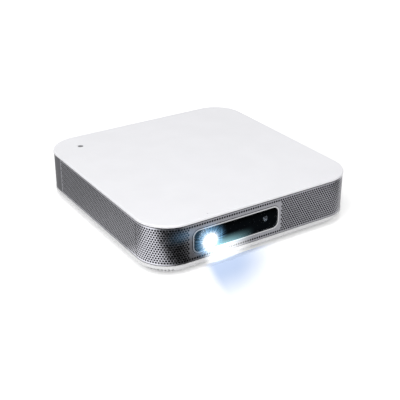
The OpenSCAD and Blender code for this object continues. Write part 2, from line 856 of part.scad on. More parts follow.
module lens_barrel() {
    inner_r = barrel_d / 2 - barrel_t;
    y1 = barrel_y0 + barrel_l;
    color([0.08, 0.08, 0.09]) {
        difference() {
            rod_y(lens_x, barrel_y0, y1, lens_z, barrel_d / 2);
            // Open seats at both ends, with a narrower way between them
            rod_y(lens_x, barrel_y0 - over, barrel_y0 + 1.2 + front_lens_t, lens_z, inner_r);
            rod_y(lens_x, y1 - rear_lens_t - 1.2, y1 + over, lens_z, inner_r);
            rod_y(lens_x, barrel_y0, y1, lens_z, inner_r - seat_t);
            // Grip grooves round the front end
            for (y = [barrel_y0 + 2, barrel_y0 + 3.6])
                difference() {
                    rod_y(lens_x, y, y + 0.8, lens_z, barrel_d / 2 + over);
                    rod_y(lens_x, y - over, y + 0.8 + over, lens_z, barrel_d / 2 - 0.3);
                }
        }
        // Retaining ring in front of the front lens, with two spanner notches
        difference() {
            rod_y(lens_x, barrel_y0 + 0.3, barrel_y0 + 1.3, lens_z, inner_r + 0.2);
            rod_y(lens_x, barrel_y0 - over, barrel_y0 + 2, lens_z, inner_r - 0.7);
            block([lens_x - inner_r - over, barrel_y0 - over, lens_z - 0.5],
                [lens_x + inner_r + over, barrel_y0 + 0.7, lens_z + 0.5]);
        }
    }
}

// A lens with one curved face and one flat face, both on an axis along Y
module half_lens(y_flat, t, curve_r, facing) {
    r = barrel_d / 2 - barrel_t - fit;
    intersection() {
        translate([lens_x, y_flat + facing * (t - curve_r), lens_z]) sphere(curve_r, $fn = 160);
        rod_y(lens_x, y_flat + min(0, facing * 2 * t), y_flat + max(0, facing * 2 * t), lens_z, r);
    }
}

module front_lens() {
    color([0.6, 0.75, 0.85, 0.5])
        half_lens(barrel_y0 + 1.2 + front_lens_t, front_lens_t, front_lens_curve, -1);
}

module rear_lens() {
    color([0.6, 0.75, 0.85, 0.5])
        half_lens(barrel_y0 + barrel_l - rear_lens_t - 1.2, rear_lens_t, front_lens_curve, 1);
}

// A three-cornered rib: w out along +X, l back along -Y and t thick
module gusset(w, l, t) {
    translate([0, 0, -t / 2]) linear_extrude(t) polygon([[0, 0], [w, 0], [0, -l]]);
}

module lens_mount() {
    bore_r = barrel_d / 2 + fit;
    color([0.5, 0.5, 0.52])
    difference() {
        union() {
            rod_y(lens_x, mount_y1 - mount_l, mount_y1, lens_z, mount_r);
            // Shoulder behind the focus ring
            rod_y(lens_x, gear_y1 + slip, gear_y1 + slip + 1.5, lens_z, mount_r + 1.5);
            block([engine_x0 + 4, mount_y1, lens_z - 14], [pinion_x + 6.5, engine_y0, lens_z + 12.5]);
            // Gussets between the tube and the flange
            for (turn = [0, 90, 180])
                translate([lens_x, mount_y1 + 0.5, lens_z])
                    rotate([0, turn + 90, 0]) translate([mount_r - 0.6, 0, 0]) gusset(2.6, 7, 1.6);
        }
        // Screw holes of the flange
        for (z = [lens_z - 11, lens_z + 9.5])
            rod_y(engine_x0 + 7, mount_y1 - over, engine_y0 + over, z, 1.1);
        rod_y(pinion_x + 3.5, mount_y1 - over, engine_y0 + over, lens_z - 11, 1.1);
        rod_y(lens_x, mount_y1 - mount_l - over, engine_y0 + over, lens_z, bore_r);
    }
}

module focus_ring() {
    color([0.2, 0.2, 0.22])
    difference() {
        gear_y(lens_x, gear_y1 - gear_w, gear_y1, lens_z, ring_teeth, 0);
        rod_y(lens_x, gear_y1 - gear_w - over, gear_y1 + over, lens_z, mount_r + fit);
    }
}

module focus_pinion() {
    color([0.85, 0.7, 0.4]) {
        gear_y(pinion_x, gear_y1 - gear_w + 0.3, gear_y1 - 0.3, lens_z, pinion_teeth,
            180 / pinion_teeth);
        rod_y(pinion_x, gear_y1 - gear_w - 0.4, motor_y0 + 6, lens_z, shaft_d / 2);
    }
}

module focus_motor() {
    color([0.7, 0.7, 0.72])
    difference() {
        union() {
            rod_y(pinion_x, motor_y0, mount_y1, lens_z, motor_d / 2);
            block([pinion_x - 3, motor_y0 + 2, lens_z + 3], [pinion_x + 3, mount_y1 - 2, lens_z + 6.4]);
        }
        rod_y(pinion_x, motor_y0 - over, motor_y0 + 7, lens_z, shaft_d / 2 + fit);
    }
}

// ---------- light engine and cooling ----------

module engine_housing() {
    rib_step = 12;
    color([0.25, 0.25, 0.27])
    difference() {
        union() {
            round_block([engine_x0, engine_y0, engine_z0], [engine_x1, engine_y1, engine_z1 - 2], 3);
            round_block([engine_x0 + 2, engine_y0 + 2, engine_z1 - 3],
                [engine_x1 - 2, engine_y1 - 2, engine_z1 - 0.8], 2.4);
            // Upright ribs of the casting on the side away from the LEDs
            for (y = [engine_y0 + 10 : rib_step : engine_y1 - 8])
                block([engine_x1 - 1, y, engine_z0], [engine_x1 + 1, y + 1.6, engine_z1 - 5]);
            for (y = [engine_y0 + 8 : rib_step : engine_y1 - 6])
                block([engine_x0 + 2, y, engine_z1 - 0.8], [engine_x1 - 2, y + 1.5, engine_z1]);
        }
        // Way of the lens tail and of the light from each LED
        rod_y(lens_x, engine_y0 - over, engine_y0 + 12, lens_z, barrel_d / 2 + 0.4);
        for (y = block_y) rod_x(engine_x0 - over, engine_x0 + 14, y, lens_z - 2, 4.5);
        for (x = [engine_x0 + 5, engine_x1 - 5], y = [engine_y0 + 6, engine_y1 - 8])
            rod_z(x, y, engine_z0 - over, engine_z0 + 6, 1.2);
        // Seats of the lid's screws
        for (x = [engine_x0 + 5, engine_x1 - 5], y = [engine_y0 + 5, engine_y1 - 4.6])
            rod_z(x, y, engine_z1 - 1.6, engine_z1 + over, 2);
    }
}

module imager_board() {
    y0 = engine_y1 + gap;
    color([0.05, 0.3, 0.15]) {
        block([engine_x0, y0, engine_z0 + 2], [engine_x1, y0 + board_t, engine_z1]);
        block([engine_x1 - 12, y0 + board_t, engine_z1 - 8],
            [engine_x1 - 2, y0 + board_t + 2.2, engine_z1 - 3]);
    }
}

module imager_heatsink() {
    y0 = engine_y1 + gap + board_t;
    fins = 7;
    x0 = engine_x0 + 4;
    step = 3;
    color([0.8, 0.8, 0.82]) {
        block([x0, y0, engine_z0 + 3], [x0 + (fins - 1) * step + 1, y0 + 1.8, engine_z1 - 9]);
        for (i = [0 : fins - 1])
            block([x0 + i * step, y0 + 1.8, engine_z0 + 3],
                [x0 + i * step + 1, y0 + 10, engine_z1 - 9]);
    }
}

module led_blocks() {
    color([0.8, 0.5, 0.35])
    difference() {
        for (y = block_y)
            block([engine_x0 - block_w, y - block_l / 2, pipe_z[0] - 6],
                [engine_x0, y + block_l / 2, pipe_z[1] + 6]);
        for (z = pipe_z)
            rod_y(block_x, pipe_y0 - over, pipe_y1, z, pipe_d / 2 + fit);
    }
}

module heat_pipes() {
    color([0.85, 0.5, 0.3])
    for (z = pipe_z) {
        rod_y(block_x, pipe_y0, pipe_y1, z, pipe_d / 2);
        translate([block_x, pipe_y0, z]) rotate([90, 0, 0]) cylinder(r1 = pipe_d / 2, r2 = 1, h = 2.5);
    }
}

module fin_stack() {
    y0 = fan_y - (fin_count - 1) * fin_pitch / 2;
    color([0.78, 0.78, 0.8])
    difference() {
        union() {
            for (i = [0 : fin_count - 1])
                block([fin_x0, y0 + i * fin_pitch - fin_t / 2, fin_z0],
                    [fin_x0 + fin_w, y0 + i * fin_pitch + fin_t / 2, fin_z1]);
            for (z = [fin_z0, fin_z1 - fin_t])
                block([fin_x0, y0 - fin_t / 2, z],
                    [fin_x0 + fin_w, y0 + (fin_count - 1) * fin_pitch + fin_t / 2, z + fin_t]);
        }
        for (z = pipe_z) rod_y(block_x, y0 - 5, pipe_y1 + over, z, pipe_d / 2 + fit);
    }
}

module exhaust_fan_frame() {
    x0 = -side_x;
    x1 = x0 + fan_t;
    half = fan_size / 2;
    color([0.13, 0.13, 0.14])
    difference() {
        union() {
            difference() {
                // Two flanges with rounded corners, and the tube between them
                union() {
                    for (x = [x0, x1 - 2]) bar_x(x, x + 2, fan_y, fan_z, fan_size, fan_size, 2.4);
                    rod_x(x0 + 1, x1 - 1, fan_y, fan_z, half - 0.1);
                }
                rod_x(x0 - over, x1 + over, fan_y, fan_z, fan_hole_d / 2);
            }
            // Motor seat on three arms
            rod_x(x1 - 1.5, x1, fan_y, fan_z, hub_d / 2);
            for (turn = [90, 210, 330])
                translate([x1 - 1.5, fan_y, fan_z])
                    rotate([turn, 0, 0])
                        translate([0, 0, -1]) cube([1.5, fan_hole_d / 2 + 0.3, 2]);
            rod_x(x0 + 3, x1 - 1, fan_y, fan_z, 1);
        }
        for (y = [-1, 1], z = [-1, 1])
            rod_x(x0 - over, x1 + over, fan_y + y * (half - 2.4), fan_z + z * (half - 2.4), 1.2);
    }
}

module exhaust_fan_rotor() {
    x0 = -side_x + 1;
    x1 = -side_x + fan_t - 2;
    blades = 7;
    blade_r = fan_hole_d / 2 - 0.6;
    color([0.16, 0.16, 0.18])
    difference() {
        union() {
            rod_x(x0, x1, fan_y, fan_z, hub_d / 2 - 0.5);
            for (i = [0 : blades - 1])
                translate([x0 + 0.6, fan_y, fan_z])
                    rotate([i * 360 / blades, 0, 0])
                        intersection() {
                            translate([2.9, 0, 0])
                                rotate([0, 40, 0])
                                    translate([-5, hub_d / 2 - 1.5, -0.4]) cube([10, blade_r, 0.8]);
                            rod_x(0, 5.8, 0, 0, blade_r);
                        }
        }
        rod_x(x0 + 1, x1 + over, fan_y, fan_z, 1 + fit);
    }
}

module blower_case() {
    half = blower_size / 2;
    cavity_d = blower_size - 8;
    z1 = blower_z + blower_t;
    color([0.13, 0.13, 0.14])
    difference() {
        union() {
            difference() {
                // Base plate with its corner ears, round housing and straight outlet
                union() {
                    round_block([blower_x - half, blower_y - half, blower_z],
                        [blower_x + half, blower_y + half, blower_z + 2], 4);
                    rod_z(blower_x, blower_y, blower_z + 1, z1, cavity_d / 2 + 1.6);
                    block([blower_x - half, blower_y - 1.6, blower_z + 1],
                        [blower_x, blower_y + cavity_d / 2 + 1.6, z1]);
                }
                for (x = [-1, 1], y = [-1, 1])
                    rod_z(blower_x + x * (half - 3), blower_y + y * (half - 3),
                        blower_z - over, blower_z + 2 + over, 1.1);
                rod_z(blower_x, blower_y, blower_z + 1.2, z1 - 1.2, cavity_d / 2);
                // Outlet on the left
                block([blower_x - half - over, blower_y, blower_z + 1.2],
                    [blower_x, blower_y + cavity_d / 2, z1 - 1.2]);
                rod_z(blower_x, blower_y, blower_z - over, z1 + over, blower_hole_d / 2);
            }
            // Motor seat on three arms, at the bottom
            rod_z(blower_x, blower_y, blower_z, blower_z + 1.2, 9);
            for (turn = [30, 150, 270])
                translate([blower_x, blower_y, blower_z])
                    rotate([0, 0, turn]) translate([0, -1.5, 0]) cube([blower_hole_d / 2 + 0.5, 3, 1.2]);
            rod_z(blower_x, blower_y, blower_z + 1, blower_z + 10, 1.2);
        }
    }
}

module blower_rotor() {
    z0 = blower_z + 2;
    z1 = blower_z + blower_t - 2;
    ring_r = blower_size / 2 - 6;
    blades = 24;
    color([0.18, 0.18, 0.2])
    difference() {
        union() {
            rod_z(blower_x, blower_y, z0, z1, 9);
            rod_z(blower_x, blower_y, z0, z0 + 1, ring_r);
            for (i = [0 : blades - 1])
                translate([blower_x, blower_y, z0 + 0.5])
                    rotate([0, 0, i * 360 / blades])
                        translate([ring_r - 4.6, 0, 0])
                            rotate([0, 0, 25]) cube([4.4, 0.7, z1 - z0 - 0.5]);
        }
        rod_z(blower_x, blower_y, z0 - over, z1 - 1, 1.2 + fit);
    }
}

// ---------- boards and sockets ----------

// A low box part on a board, from its corner and its size
module chip(x, y, w, l, h) {
    translate([x, y, main_top]) cube([w, l, h]);
}

module main_board() {
    color([0.04, 0.25, 0.14]) {
        difference() {
            block([main_x0, main_y0, main_z], [main_x1, main_y1, main_top]);
            for (x = [main_x0 + 5, main_x1 - 4], y = [main_y0 + 4, main_y1 - 4])
                rod_z(x, y, main_z - over, main_top + over, 1.4);
        }
        // Socket of the disc drive's ribbon cable
        chip(main_x0 + 0.5, cable_y0 - 0.5, 4, cable_y1 - cable_y0 + 1, cable_socket_h);
        chip(main_x0 + 33, main_y0 + 12, 19, 19, 2.2);
        chip(main_x0 + 57, main_y0 + 10, 14, 11, 1.1);
        chip(main_x0 + 57, main_y0 + 24, 14, 11, 1.1);
        chip(main_x0 + 14, main_y0 + 14, 12, 12, 1.4);
        chip(main_x0 + 78, main_y0 + 12, 8, 8, 4);
        // Heat spreader on the large chip
        chip(main_x0 + 35, main_y0 + 14, 15, 15, 4);
        // Small parts: memory, plugs for the fans and speakers, and filter parts
        chip(main_x0 + 30, main_y0 + 2, 9, 4.5, 5);
        chip(main_x0 + 44, main_y0 + 2, 9, 4.5, 5);
        chip(main_x0 + 90, main_y0 + 12, 5, 8, 3);
        chip(main_x0 + 14, main_y0 + 30, 6, 5, 1.6);
        for (i = [0 : 3]) chip(main_x0 + 24 + i * 4, main_y0 + 36, 2.4, 1.4, 1.2);
        for (x = [78, 85, 92], y = [24, 31])
            rod_z(main_x0 + x, main_y0 + y, main_top, main_top + 7, 2.5);
    }
}

module power_board() {
    color([0.04, 0.25, 0.14]) {
        difference() {
            block([power_x0, power_y0, main_z], [power_x1, power_y1, main_top]);
            for (x = [power_x0 + 4, power_x1 - 4], y = [power_y0 + 8, power_y1 - 4])
                rod_z(x, y, main_z - over, main_top + over, 1.4);
        }
        for (i = [0 : 2]) chip(power_x0 + 12 + i * 13, power_y0 + 14, 10, 10, 6);
        for (i = [0 : 3])
            rod_z(power_x0 + 14 + i * 10, power_y0 + 34, main_top, main_top + 10.5, 4);
        chip(power_x0 + 12, power_y0 + 46, 30, 20, 8);
        chip(power_x0 + 17, power_y0 + 46.8, 20, 18.4, 11);
        chip(power_x0 + 44, power_y0 + 26, 1.6, 22, 10);
        chip(power_x0 + 22, power_y0 + 74, 12, 6, 8);
    }
}

// Outline of an HDMI plug, grown by grow, extruded along Y: its lower corners slope in
module hdmi_prism(grow, y0, y1) {
    half = hdmi_w / 2 + grow;
    foot = half - hdmi_slope;
    translate([hdmi_x, y1, main_top + hdmi_h / 2 + sheet])
        rotate([90, 0, 0])
            linear_extrude(y1 - y0)
                polygon([[-foot, -hdmi_h / 2 - grow], [foot, -hdmi_h / 2 - grow],
                    [half, -hdmi_h / 2 + hdmi_slope], [half, hdmi_h / 2 + grow],
                    [-half, hdmi_h / 2 + grow], [-half, -hdmi_h / 2 + hdmi_slope]]);
}

module hdmi_socket() {
    tongue_z = main_top + sheet + 2.3;
    color([0.72, 0.72, 0.74]) {
        difference() {
            union() {
                hdmi_prism(sheet, socket_y - 12, socket_y);
                // Two legs of the shell stand on the board
                for (x = [-1, 1]) block([hdmi_x + x * 6.5 - 1, socket_y - 9, main_top],
                    [hdmi_x + x * 6.5 + 1, socket_y - 6, main_top + 2]);
            }
            hdmi_prism(0, socket_y - 11, socket_y + over);
        }
        block([hdmi_x - 5.8, socket_y - 11.2, tongue_z], [hdmi_x + 5.8, socket_y - 2, tongue_z + 0.9]);
    }
}

module usb_socket() {
    color([0.72, 0.72, 0.74]) {
        difference() {
            block([usb_x - 6.7, socket_y - 14, main_top], [usb_x + 6.7, socket_y, main_top + 6.7]);
            block([usb_x - 6.2, socket_y - 13, main_top + sheet],
                [usb_x + 6.2, socket_y + over, main_top + 6.7 - sheet]);
            // Windows of the spring fingers
            for (x = [-3, 3])
                block([usb_x + x - 1.2, socket_y - 8, main_top + 5],
                    [usb_x + x + 1.2, socket_y - 3, main_top + 8]);
        }
        block([usb_x - 5.6, socket_y - 13.2, main_top + 3.9],
            [usb_x + 5.6, socket_y - 1.5, main_top + 5.7]);
    }
}

module dc_inlet() {
    z = main_top + 5.5;
    color([0.08, 0.08, 0.09]) {
        difference() {
            union() {
                block([dc_x - 4.5, socket_y - 14, main_top], [dc_x + 4.5, socket_y - 2.2, main_top + 10.5]);
                rod_y(dc_x, socket_y - 3, socket_y, z, 4);
            }
            rod_y(dc_x, socket_y - 10, socket_y + over, z, 3);
        }
        rod_y(dc_x, socket_y - 10.5, socket_y - 1, z, 1);
    }
}

module audio_socket() {
    z = main_top + 3;
    color([0.08, 0.08, 0.09])
    difference() {
        union() {
            block([audio_x - 3.2, socket_y - audio_l - 1.5, main_top],
                [audio_x + 3.2, socket_y - 2.2, main_top + 6]);
            rod_y(audio_x, socket_y - 3, socket_y, z, 2.8);
        }
        rod_y(audio_x, socket_y - audio_l, socket_y + over, z, audio_hole_d / 2);
    }
}

// ---------- speakers and button ----------

// A speaker that faces -Y, with its face at y = 0 and its centre on the Y axis
module speaker_box(length) {
    half_h = (speaker_z1 - speaker_z0) / 2;
    magnet_y = 7.6;
    color([0.1, 0.1, 0.11]) {
        difference() {
            union() {
                block([-length / 2, 0, -half_h], [length / 2, speaker_face + 1, half_h]);
                // The chamber behind the face has rounded ends
                translate([0, speaker_depth, 0])
                    rotate([90, 0, 0])
                        linear_extrude(speaker_depth - speaker_face)
                            rounded_rect(length - 2, 2 * half_h - 2, 5);
            }
            translate([0, speaker_depth - 1.5, 0])
                rotate([90, 0, 0])
                    linear_extrude(speaker_depth - 1.5 - speaker_face)
                        rounded_rect(length - 5, 2 * half_h - 5, 4);
            rod_y(0, -over, speaker_face + over, 0, cone_d / 2);
        }
        // Magnet on the rear wall, with its pole plate
        rod_y(0, magnet_y + 1, speaker_depth - 1, 0, 8);
        rod_y(0, magnet_y, magnet_y + 1, 0, 6.5);
    }
}

module speaker_cone() {
    outer = cone_d / 2 - cone_gap;
    translate([0, 1.2, 0])
        rotate([-90, 0, 0])
            rotate_extrude() {
                // Dust cap, paper cone and voice coil
                polygon([[0, 1.4], [3, 1.7], [5, 2.4], [outer - 2.5, 0.4], [outer, 0.4], [outer, 1.2],
                    [outer - 2.3, 1.2], [5.6, 3.2], [5.6, 5.4], [5, 5.4], [5, 3.2], [0, 2.4]]);
                // Rolled surround
                translate([outer - 1.4, 0.8]) circle(0.8);
            }
}

module left_speaker() {
    translate([-side_x, left_speaker_y, speaker_z]) rotate([0, 0, -90]) speaker_box(left_speaker_l);
}

module left_cone() {
    color([0.16, 0.16, 0.17])
        translate([-side_x, left_speaker_y, speaker_z]) rotate([0, 0, -90]) speaker_cone();
}

module right_speaker() {
    translate([right_speaker_x, front_y, speaker_z]) speaker_box(right_speaker_l);
}

module right_cone() {
    color([0.16, 0.16, 0.17])
        translate([right_speaker_x, front_y, speaker_z]) speaker_cone();
}

module power_button() {
    dish_r = 20;
    color([0.35, 0.36, 0.38]) {
        difference() {
            rod_z(button_x, button_y, plate_z - 1.2, body_h - 0.3, button_d / 2);
            translate([button_x, button_y, body_h - 0.5 + dish_r]) sphere(dish_r, $fn = 160);
        }
        rod_z(button_x, button_y, plate_z - 1.6, plate_z - gap, button_d / 2 + 1.6);
        rod_z(button_x, button_y, plate_z - 4, plate_z - 1.2, 1.2);
    }
}

module button_board() {
    z1 = button_board_z + board_t;
    color([0.05, 0.3, 0.15]) {
        block([button_x - 5.5, button_y - 6.5, button_board_z], [button_x + 12.5, button_y + 7, z1]);
        // Push switch under the button
        block([button_x - 3, button_y - 3, z1], [button_x + 3, button_y + 3, z1 + 3.2]);
        rod_z(button_x, button_y, z1, plate_z - 4 - button_travel - 0.2, 1.6);
    }
}

// ---------- disc drive ----------

module drive_case() {
    x1 = drive_x1 - gap;
    half = drive_w / 2;
    top = drive_z1 - sheet_t;
    press = 0.3;
    color([0.72, 0.73, 0.75]) {
        difference() {
            block([drive_x0, -half, drive_z0], [x1, half, top]);
            block([drive_x0 + sheet_t, -half + sheet_t, drive_z0 + sheet_t],
                [x1 + over, half - sheet_t, top + over]);
            // Cable opening in the rear wall
            block([drive_x0 - over, cable_y0 - 1, drive_z0 + 2.5],
                [drive_x0 + 2 * over, cable_y1 + 1, drive_z0 + 8]);
            // Pressed floor, open under the pickup's path
            difference() {
                rod_z(disc_x, 0, drive_z0 - over, drive_z0 + press, 50);
                rod_z(disc_x, 0, drive_z0 - 2 * over, drive_z0 + 2 * over, 46);
            }
            along_sled()
                round_block([22, -7, drive_z0 - over], [50, 7, drive_z0 + sheet_t + over], 3);
            // Screw holes in the side walls
            for (x = [drive_x0 + 18, x1 - 22])
                rod_y(x, -half - over, half + over, drive_z0 + 2, 0.8);
        }
        // Bent tabs at the mouth guide the rails from below and above
        for (side = [-1, 1], x = [x1 - 40, x1 - 14], z = [rail_z - gap - 0.6, rail_z + rail_h + gap])
            block([x, side > 0 ? half - sheet_t - gap - rail_t : -half + sheet_t, z],
                [x + 8, side > 0 ? half - sheet_t : -half + sheet_t + gap + rail_t, z + 0.6]);
    }
}

module drive_lid() {
    half = drive_w / 2;
    color([0.76, 0.77, 0.79])
    difference() {
        block([drive_x0, -half, drive_z1 - sheet_t], [drive_x1 - gap, half, drive_z1]);
        // A shallow pressed ring stiffens the lid
        difference() {
            rod_z(disc_x, 0, drive_z1 - 0.3, drive_z1 + over, 42);
            rod_z(disc_x, 0, drive_z1 - over, drive_z1 + 2 * over, 34);
        }
        // Screw seats along both long sides
        for (x = [drive_x0 + 10, drive_x0 + 60, drive_x1 - 12], y = [-1, 1] * (half - 4))
            rod_z(x, y, drive_z1 - 0.4, drive_z1 + over, 2);
    }
}

// The opening for the spindle and the pickup, in the tray and in the plate under it
module keyhole(z0, z1) {
    rod_z(disc_x, 0, z0, z1, keyhole_d / 2);
    along_sled() block([0, -slot_w / 2, z0], [slot_end, slot_w / 2, z1]);
}

module tray() {
    deck_top = tray_z1 - well_depth;
    color([0.14, 0.14, 0.15])
    difference() {
        union() {
            block([tray_x0, -tray_y, tray_z0], [drive_x1, tray_y, tray_z1]);
            // Keys that run in the channels of both rails
            for (side = [-1, 1])
                block([tray_x0, side * (tray_y + (side > 0 ? -over : tray_key)), key_z - key_h / 2],
                    [tray_x0 + key_l, side * (tray_y + (side > 0 ? tray_key : -over)), key_z + key_h / 2]);
        }
        rod_z(disc_x, 0, deck_top, tray_z1 + over, well_d / 2);
        // A lower well for a small disc
        rod_z(disc_x, 0, deck_top - small_well_depth, tray_z1 + over, small_well_d / 2);
        // Finger cut-outs at the front and the rear of the well
        for (side = [-1, 1])
            translate([disc_x, side * (well_d / 2 - 3), 0])
                round_block([-9, -7, deck_top - small_well_depth], [9, 7, tray_z1 + over], 5);
        block([tray_x0 + tray_wall, -tray_y + tray_wall, tray_z0 - over],
            [drive_x1 - tray_wall, tray_y - tray_wall, deck_z]);
        keyhole(deck_z - over, tray_z1 + over);
    }
}

module tray_bezel() {
    x1 = bezel_x1;
    mid_z = (bezel_z0 + bezel_z1) / 2;
    color([0.62, 0.62, 0.64])
    difference() {
        bar_x(drive_x1, x1, 0, mid_z, 2 * bezel_y, bezel_z1 - bezel_z0, 1.2);
        block([drive_x1 - over, -bezel_y + 1.5, bezel_z0 + 1.5],
            [x1 - bezel_wall, bezel_y - 1.5, bezel_z1 - 1.5]);
        bar_x(drive_x1, x1 + over, eject_y, mid_z, eject_w + 0.2, eject_h + 0.2, eject_r + 0.1);
        rod_x(drive_x1, x1 + over, pin_hole_y, mid_z, 0.65);
        block([drive_x1, busy_y - 1.5, mid_z - 0.6], [x1 + over, busy_y + 1.5, mid_z + 0.6]);
    }
}

module eject_button() {
    mid_z = (bezel_z0 + bezel_z1) / 2;
    flange_x = bezel_x1 - bezel_wall - gap;
    color([0.7, 0.7, 0.72]) {
        bar_x(flange_x - 0.8, bezel_x1 + 0.3, eject_y, mid_z, eject_w, eject_h, eject_r);
        block([flange_x - 0.8, eject_y - eject_w / 2 - 1, mid_z - eject_h / 2 - 1],
            [flange_x, eject_y + eject_w / 2 + 1, mid_z + eject_h / 2 + 1]);
    }
}

// A telescopic rail with its channel open to the middle of the drive
module rail(side) {
    y0 = side > 0 ? rail_y : -rail_y - rail_t;
    x0 = drive_x0 + sheet_t + 2;
    color([0.8, 0.8, 0.82])
    difference() {
        block([x0, y0, rail_z], [drive_x1 - 2, y0 + rail_t, rail_z + rail_h]);
        translate([0, side > 0 ? -rail_web : rail_web, 0])
            block([x0 - over, y0, rail_z + rail_lip],
                [drive_x1 - 2 + over, y0 + rail_t, rail_z + rail_h - rail_lip]);
        // Holes that lighten the web
        for (x = [x0 + 12 : 24 : drive_x1 - 14])
            rod_y(x, y0 - over, y0 + rail_t + over, rail_z + rail_h / 2, 0.9);
    }
}

module front_rail() {
    rail(-1);
}

module rear_rail() {
    rail(1);
}

// The inside of the tray, which the parts of the disc mechanism stay within
module tray_inside(z0, z1) {
    block([tray_x0 + tray_wall + slip, -tray_y + tray_wall + slip, z0],
        [drive_x1 - tray_wall - slip, tray_y - tray_wall - slip, z1]);
}

module traverse_plate() {
    plate_z0 = deck_z - plate_t;
    lug_z0 = rod_z - rod_d / 2 - 0.5;
    lug_out = 3;
    color([0.66, 0.67, 0.7])
    difference() {
        intersection() {
            tray_inside(lug_z0, deck_z);
            along_sled() {
                block([-24, screw_v - 6, plate_z0], [slot_end + 4, rod_v + 8, deck_z]);
                // Lugs that hold the guide rods and the free end of the lead screw
                for (v = [-rod_v, rod_v], u = [rod_u0, rod_u1 - 1])
                    block([u, v - (v < 0 ? lug_out : 2), lug_z0],
                        [u + 1.6, v + (v > 0 ? lug_out : 2), plate_z0]);
                block([lead_u1 - 0.6, screw_v - 1.8, lug_z0], [lead_u1 + 0.6, screw_v + 1.8, plate_z0]);
            }
        }
        keyhole(plate_z0 - over, deck_z + over);
        along_sled() {
            // Window for the sled motor
            block([sled_motor_u - 0.5, screw_v - 2.8, plate_z0 - over],
                [sled_motor_u + sled_motor_l + 0.5, screw_v + 2.8, deck_z + over]);
            for (v = [-rod_v, rod_v])
                rod_x(rod_u0 - over, rod_u1 + 2, v, rod_z, rod_d / 2 + fit);
            rod_x(lead_u1 - 2, lead_u1 + 2, screw_v, rod_z, lead_core_r + fit);
        }
    }
}

module spindle_motor() {
    z0 = tray_z0 + 0.6;
    plate_z0 = deck_z - plate_t;
    color([0.6, 0.6, 0.62])
    difference() {
        union() {
            rod_z(disc_x, 0, z0, plate_z0 - 1, 12);
            along_sled() {
                block([-23, -8, z0], [0, 8, z0 + 1.2]);
                block([-23, -8, z0], [-19.5, 8, plate_z0]);
            }
        }
        rod_z(disc_x, 0, tray_z0, deck_z, spindle_r + fit);
    }
}

module spindle_hub() {
    turntable_z = tray_z1 - well_depth + 0.6;
    balls = 3;
    color([0.75, 0.75, 0.78]) {
        rod_z(disc_x, 0, tray_z0 + 1, turntable_z, spindle_r);
        rod_z(disc_x, 0, deck_z - plate_t - 0.7, turntable_z - 1, 11);
        rod_z(disc_x, 0, turntable_z - 1, turntable_z, 14);
        rod_z(disc_x, 0, turntable_z, turntable_z + 1.3, 7.2);
        translate([disc_x, 0, turntable_z + 1.3]) cylinder(r1 = 7.2, r2 = 6.2, h = 0.7);
        for (i = [0 : balls - 1])
            translate([disc_x, 0, turntable_z + 1.2])
                rotate([0, 0, i * 360 / balls]) translate([6.7, 0, 0]) sphere(0.7);
    }
}

module guide_rods() {
    color([0.85, 0.85, 0.87])
    along_sled()
        for (v = [-rod_v, rod_v]) rod_x(rod_u0, rod_u1 + 0.6, v, rod_z, rod_d / 2);
}

module lead_screw() {
    turn_step = 3;
    color([0.8, 0.8, 0.82])
    along_sled() {
        rod_x(sled_motor_u + 3, lead_u1 + 0.4, screw_v, rod_z, lead_core_r);
        // Collars stand in for the turns of the thread
        for (u = [15 : turn_step : lead_u1 - 3]) rod_x(u, u + 1.5, screw_v, rod_z, lead_d / 2);
    }
}

module sled_motor() {
    color([0.5, 0.5, 0.52])
    along_sled()
        difference() {
            block([sled_motor_u, screw_v - 2.3, tray_z0 + 0.2],
                [sled_motor_u + sled_motor_l, screw_v + 2.3, deck_z - gap]);
            rod_x(sled_motor_u + 2.5, sled_motor_u + sled_motor_l + over, screw_v, rod_z,
                lead_core_r + fit);
        }
}

module pickup_sled() {
    z0 = rod_z - rod_d / 2 - 0.4;
    plate_z0 = deck_z - plate_t;
    head_z = plate_z0 + 1.4;
    lens_top = tray_z1 - well_depth - 0.3;
    u0 = sled_home - sled_l / 2;
    u1 = sled_home + sled_l / 2;
    color([0.28, 0.28, 0.3])
    along_sled()
        difference() {
            union() {
                block([u0, -sled_w / 2, z0], [u1, sled_w / 2, plate_z0 - gap]);
                round_block([u0 + 2, -9, plate_z0 - 1], [u1 - 2, 9, head_z], 1.5);
                rod_z(sled_home, 0, plate_z0, lens_top - 0.3, 3);
                rod_z(sled_home, 0, plate_z0, lens_top, 2.6);
                // Magnets on both sides of the lens
                for (v = [-7.7, 4.7])
                    block([u0 + 4, v, plate_z0], [u1 - 4, v + 3, lens_top - 0.4]);
                // Half nut that the lead screw drives
                block([u0, screw_v - nut_w, z0], [u0 + 4.5, -sled_w / 2, plate_z0 - gap]);
            }
            for (v = [-rod_v, rod_v])
                rod_x(u0 - over, u1 + over, v, rod_z, rod_d / 2 + fit);
            rod_x(u0 - over, u1 + over, screw_v, rod_z, lead_d / 2 + slip);
            rod_z(sled_home, 0, lens_top - 0.5, lens_top + over, 2.2);
        }
}

module drive_cable() {
    t = 0.6;
    x1 = drive_x0 - gap;
    z1 = drive_z0 + 6;
    z0 = main_top + cable_socket_h;
    color([0.9, 0.9, 0.88]) {
        block([x1 - t, cable_y0, z0], [x1, cable_y1, z1]);
        block([x1 - t, cable_y0, z0], [main_x0 + 4, cable_y1, z0 + t]);
        block([x1 - t, cable_y0, z1 - t], [drive_x0 + sheet_t + 0.3, cable_y1, z1]);
    }
}

// ---------- nodes ----------

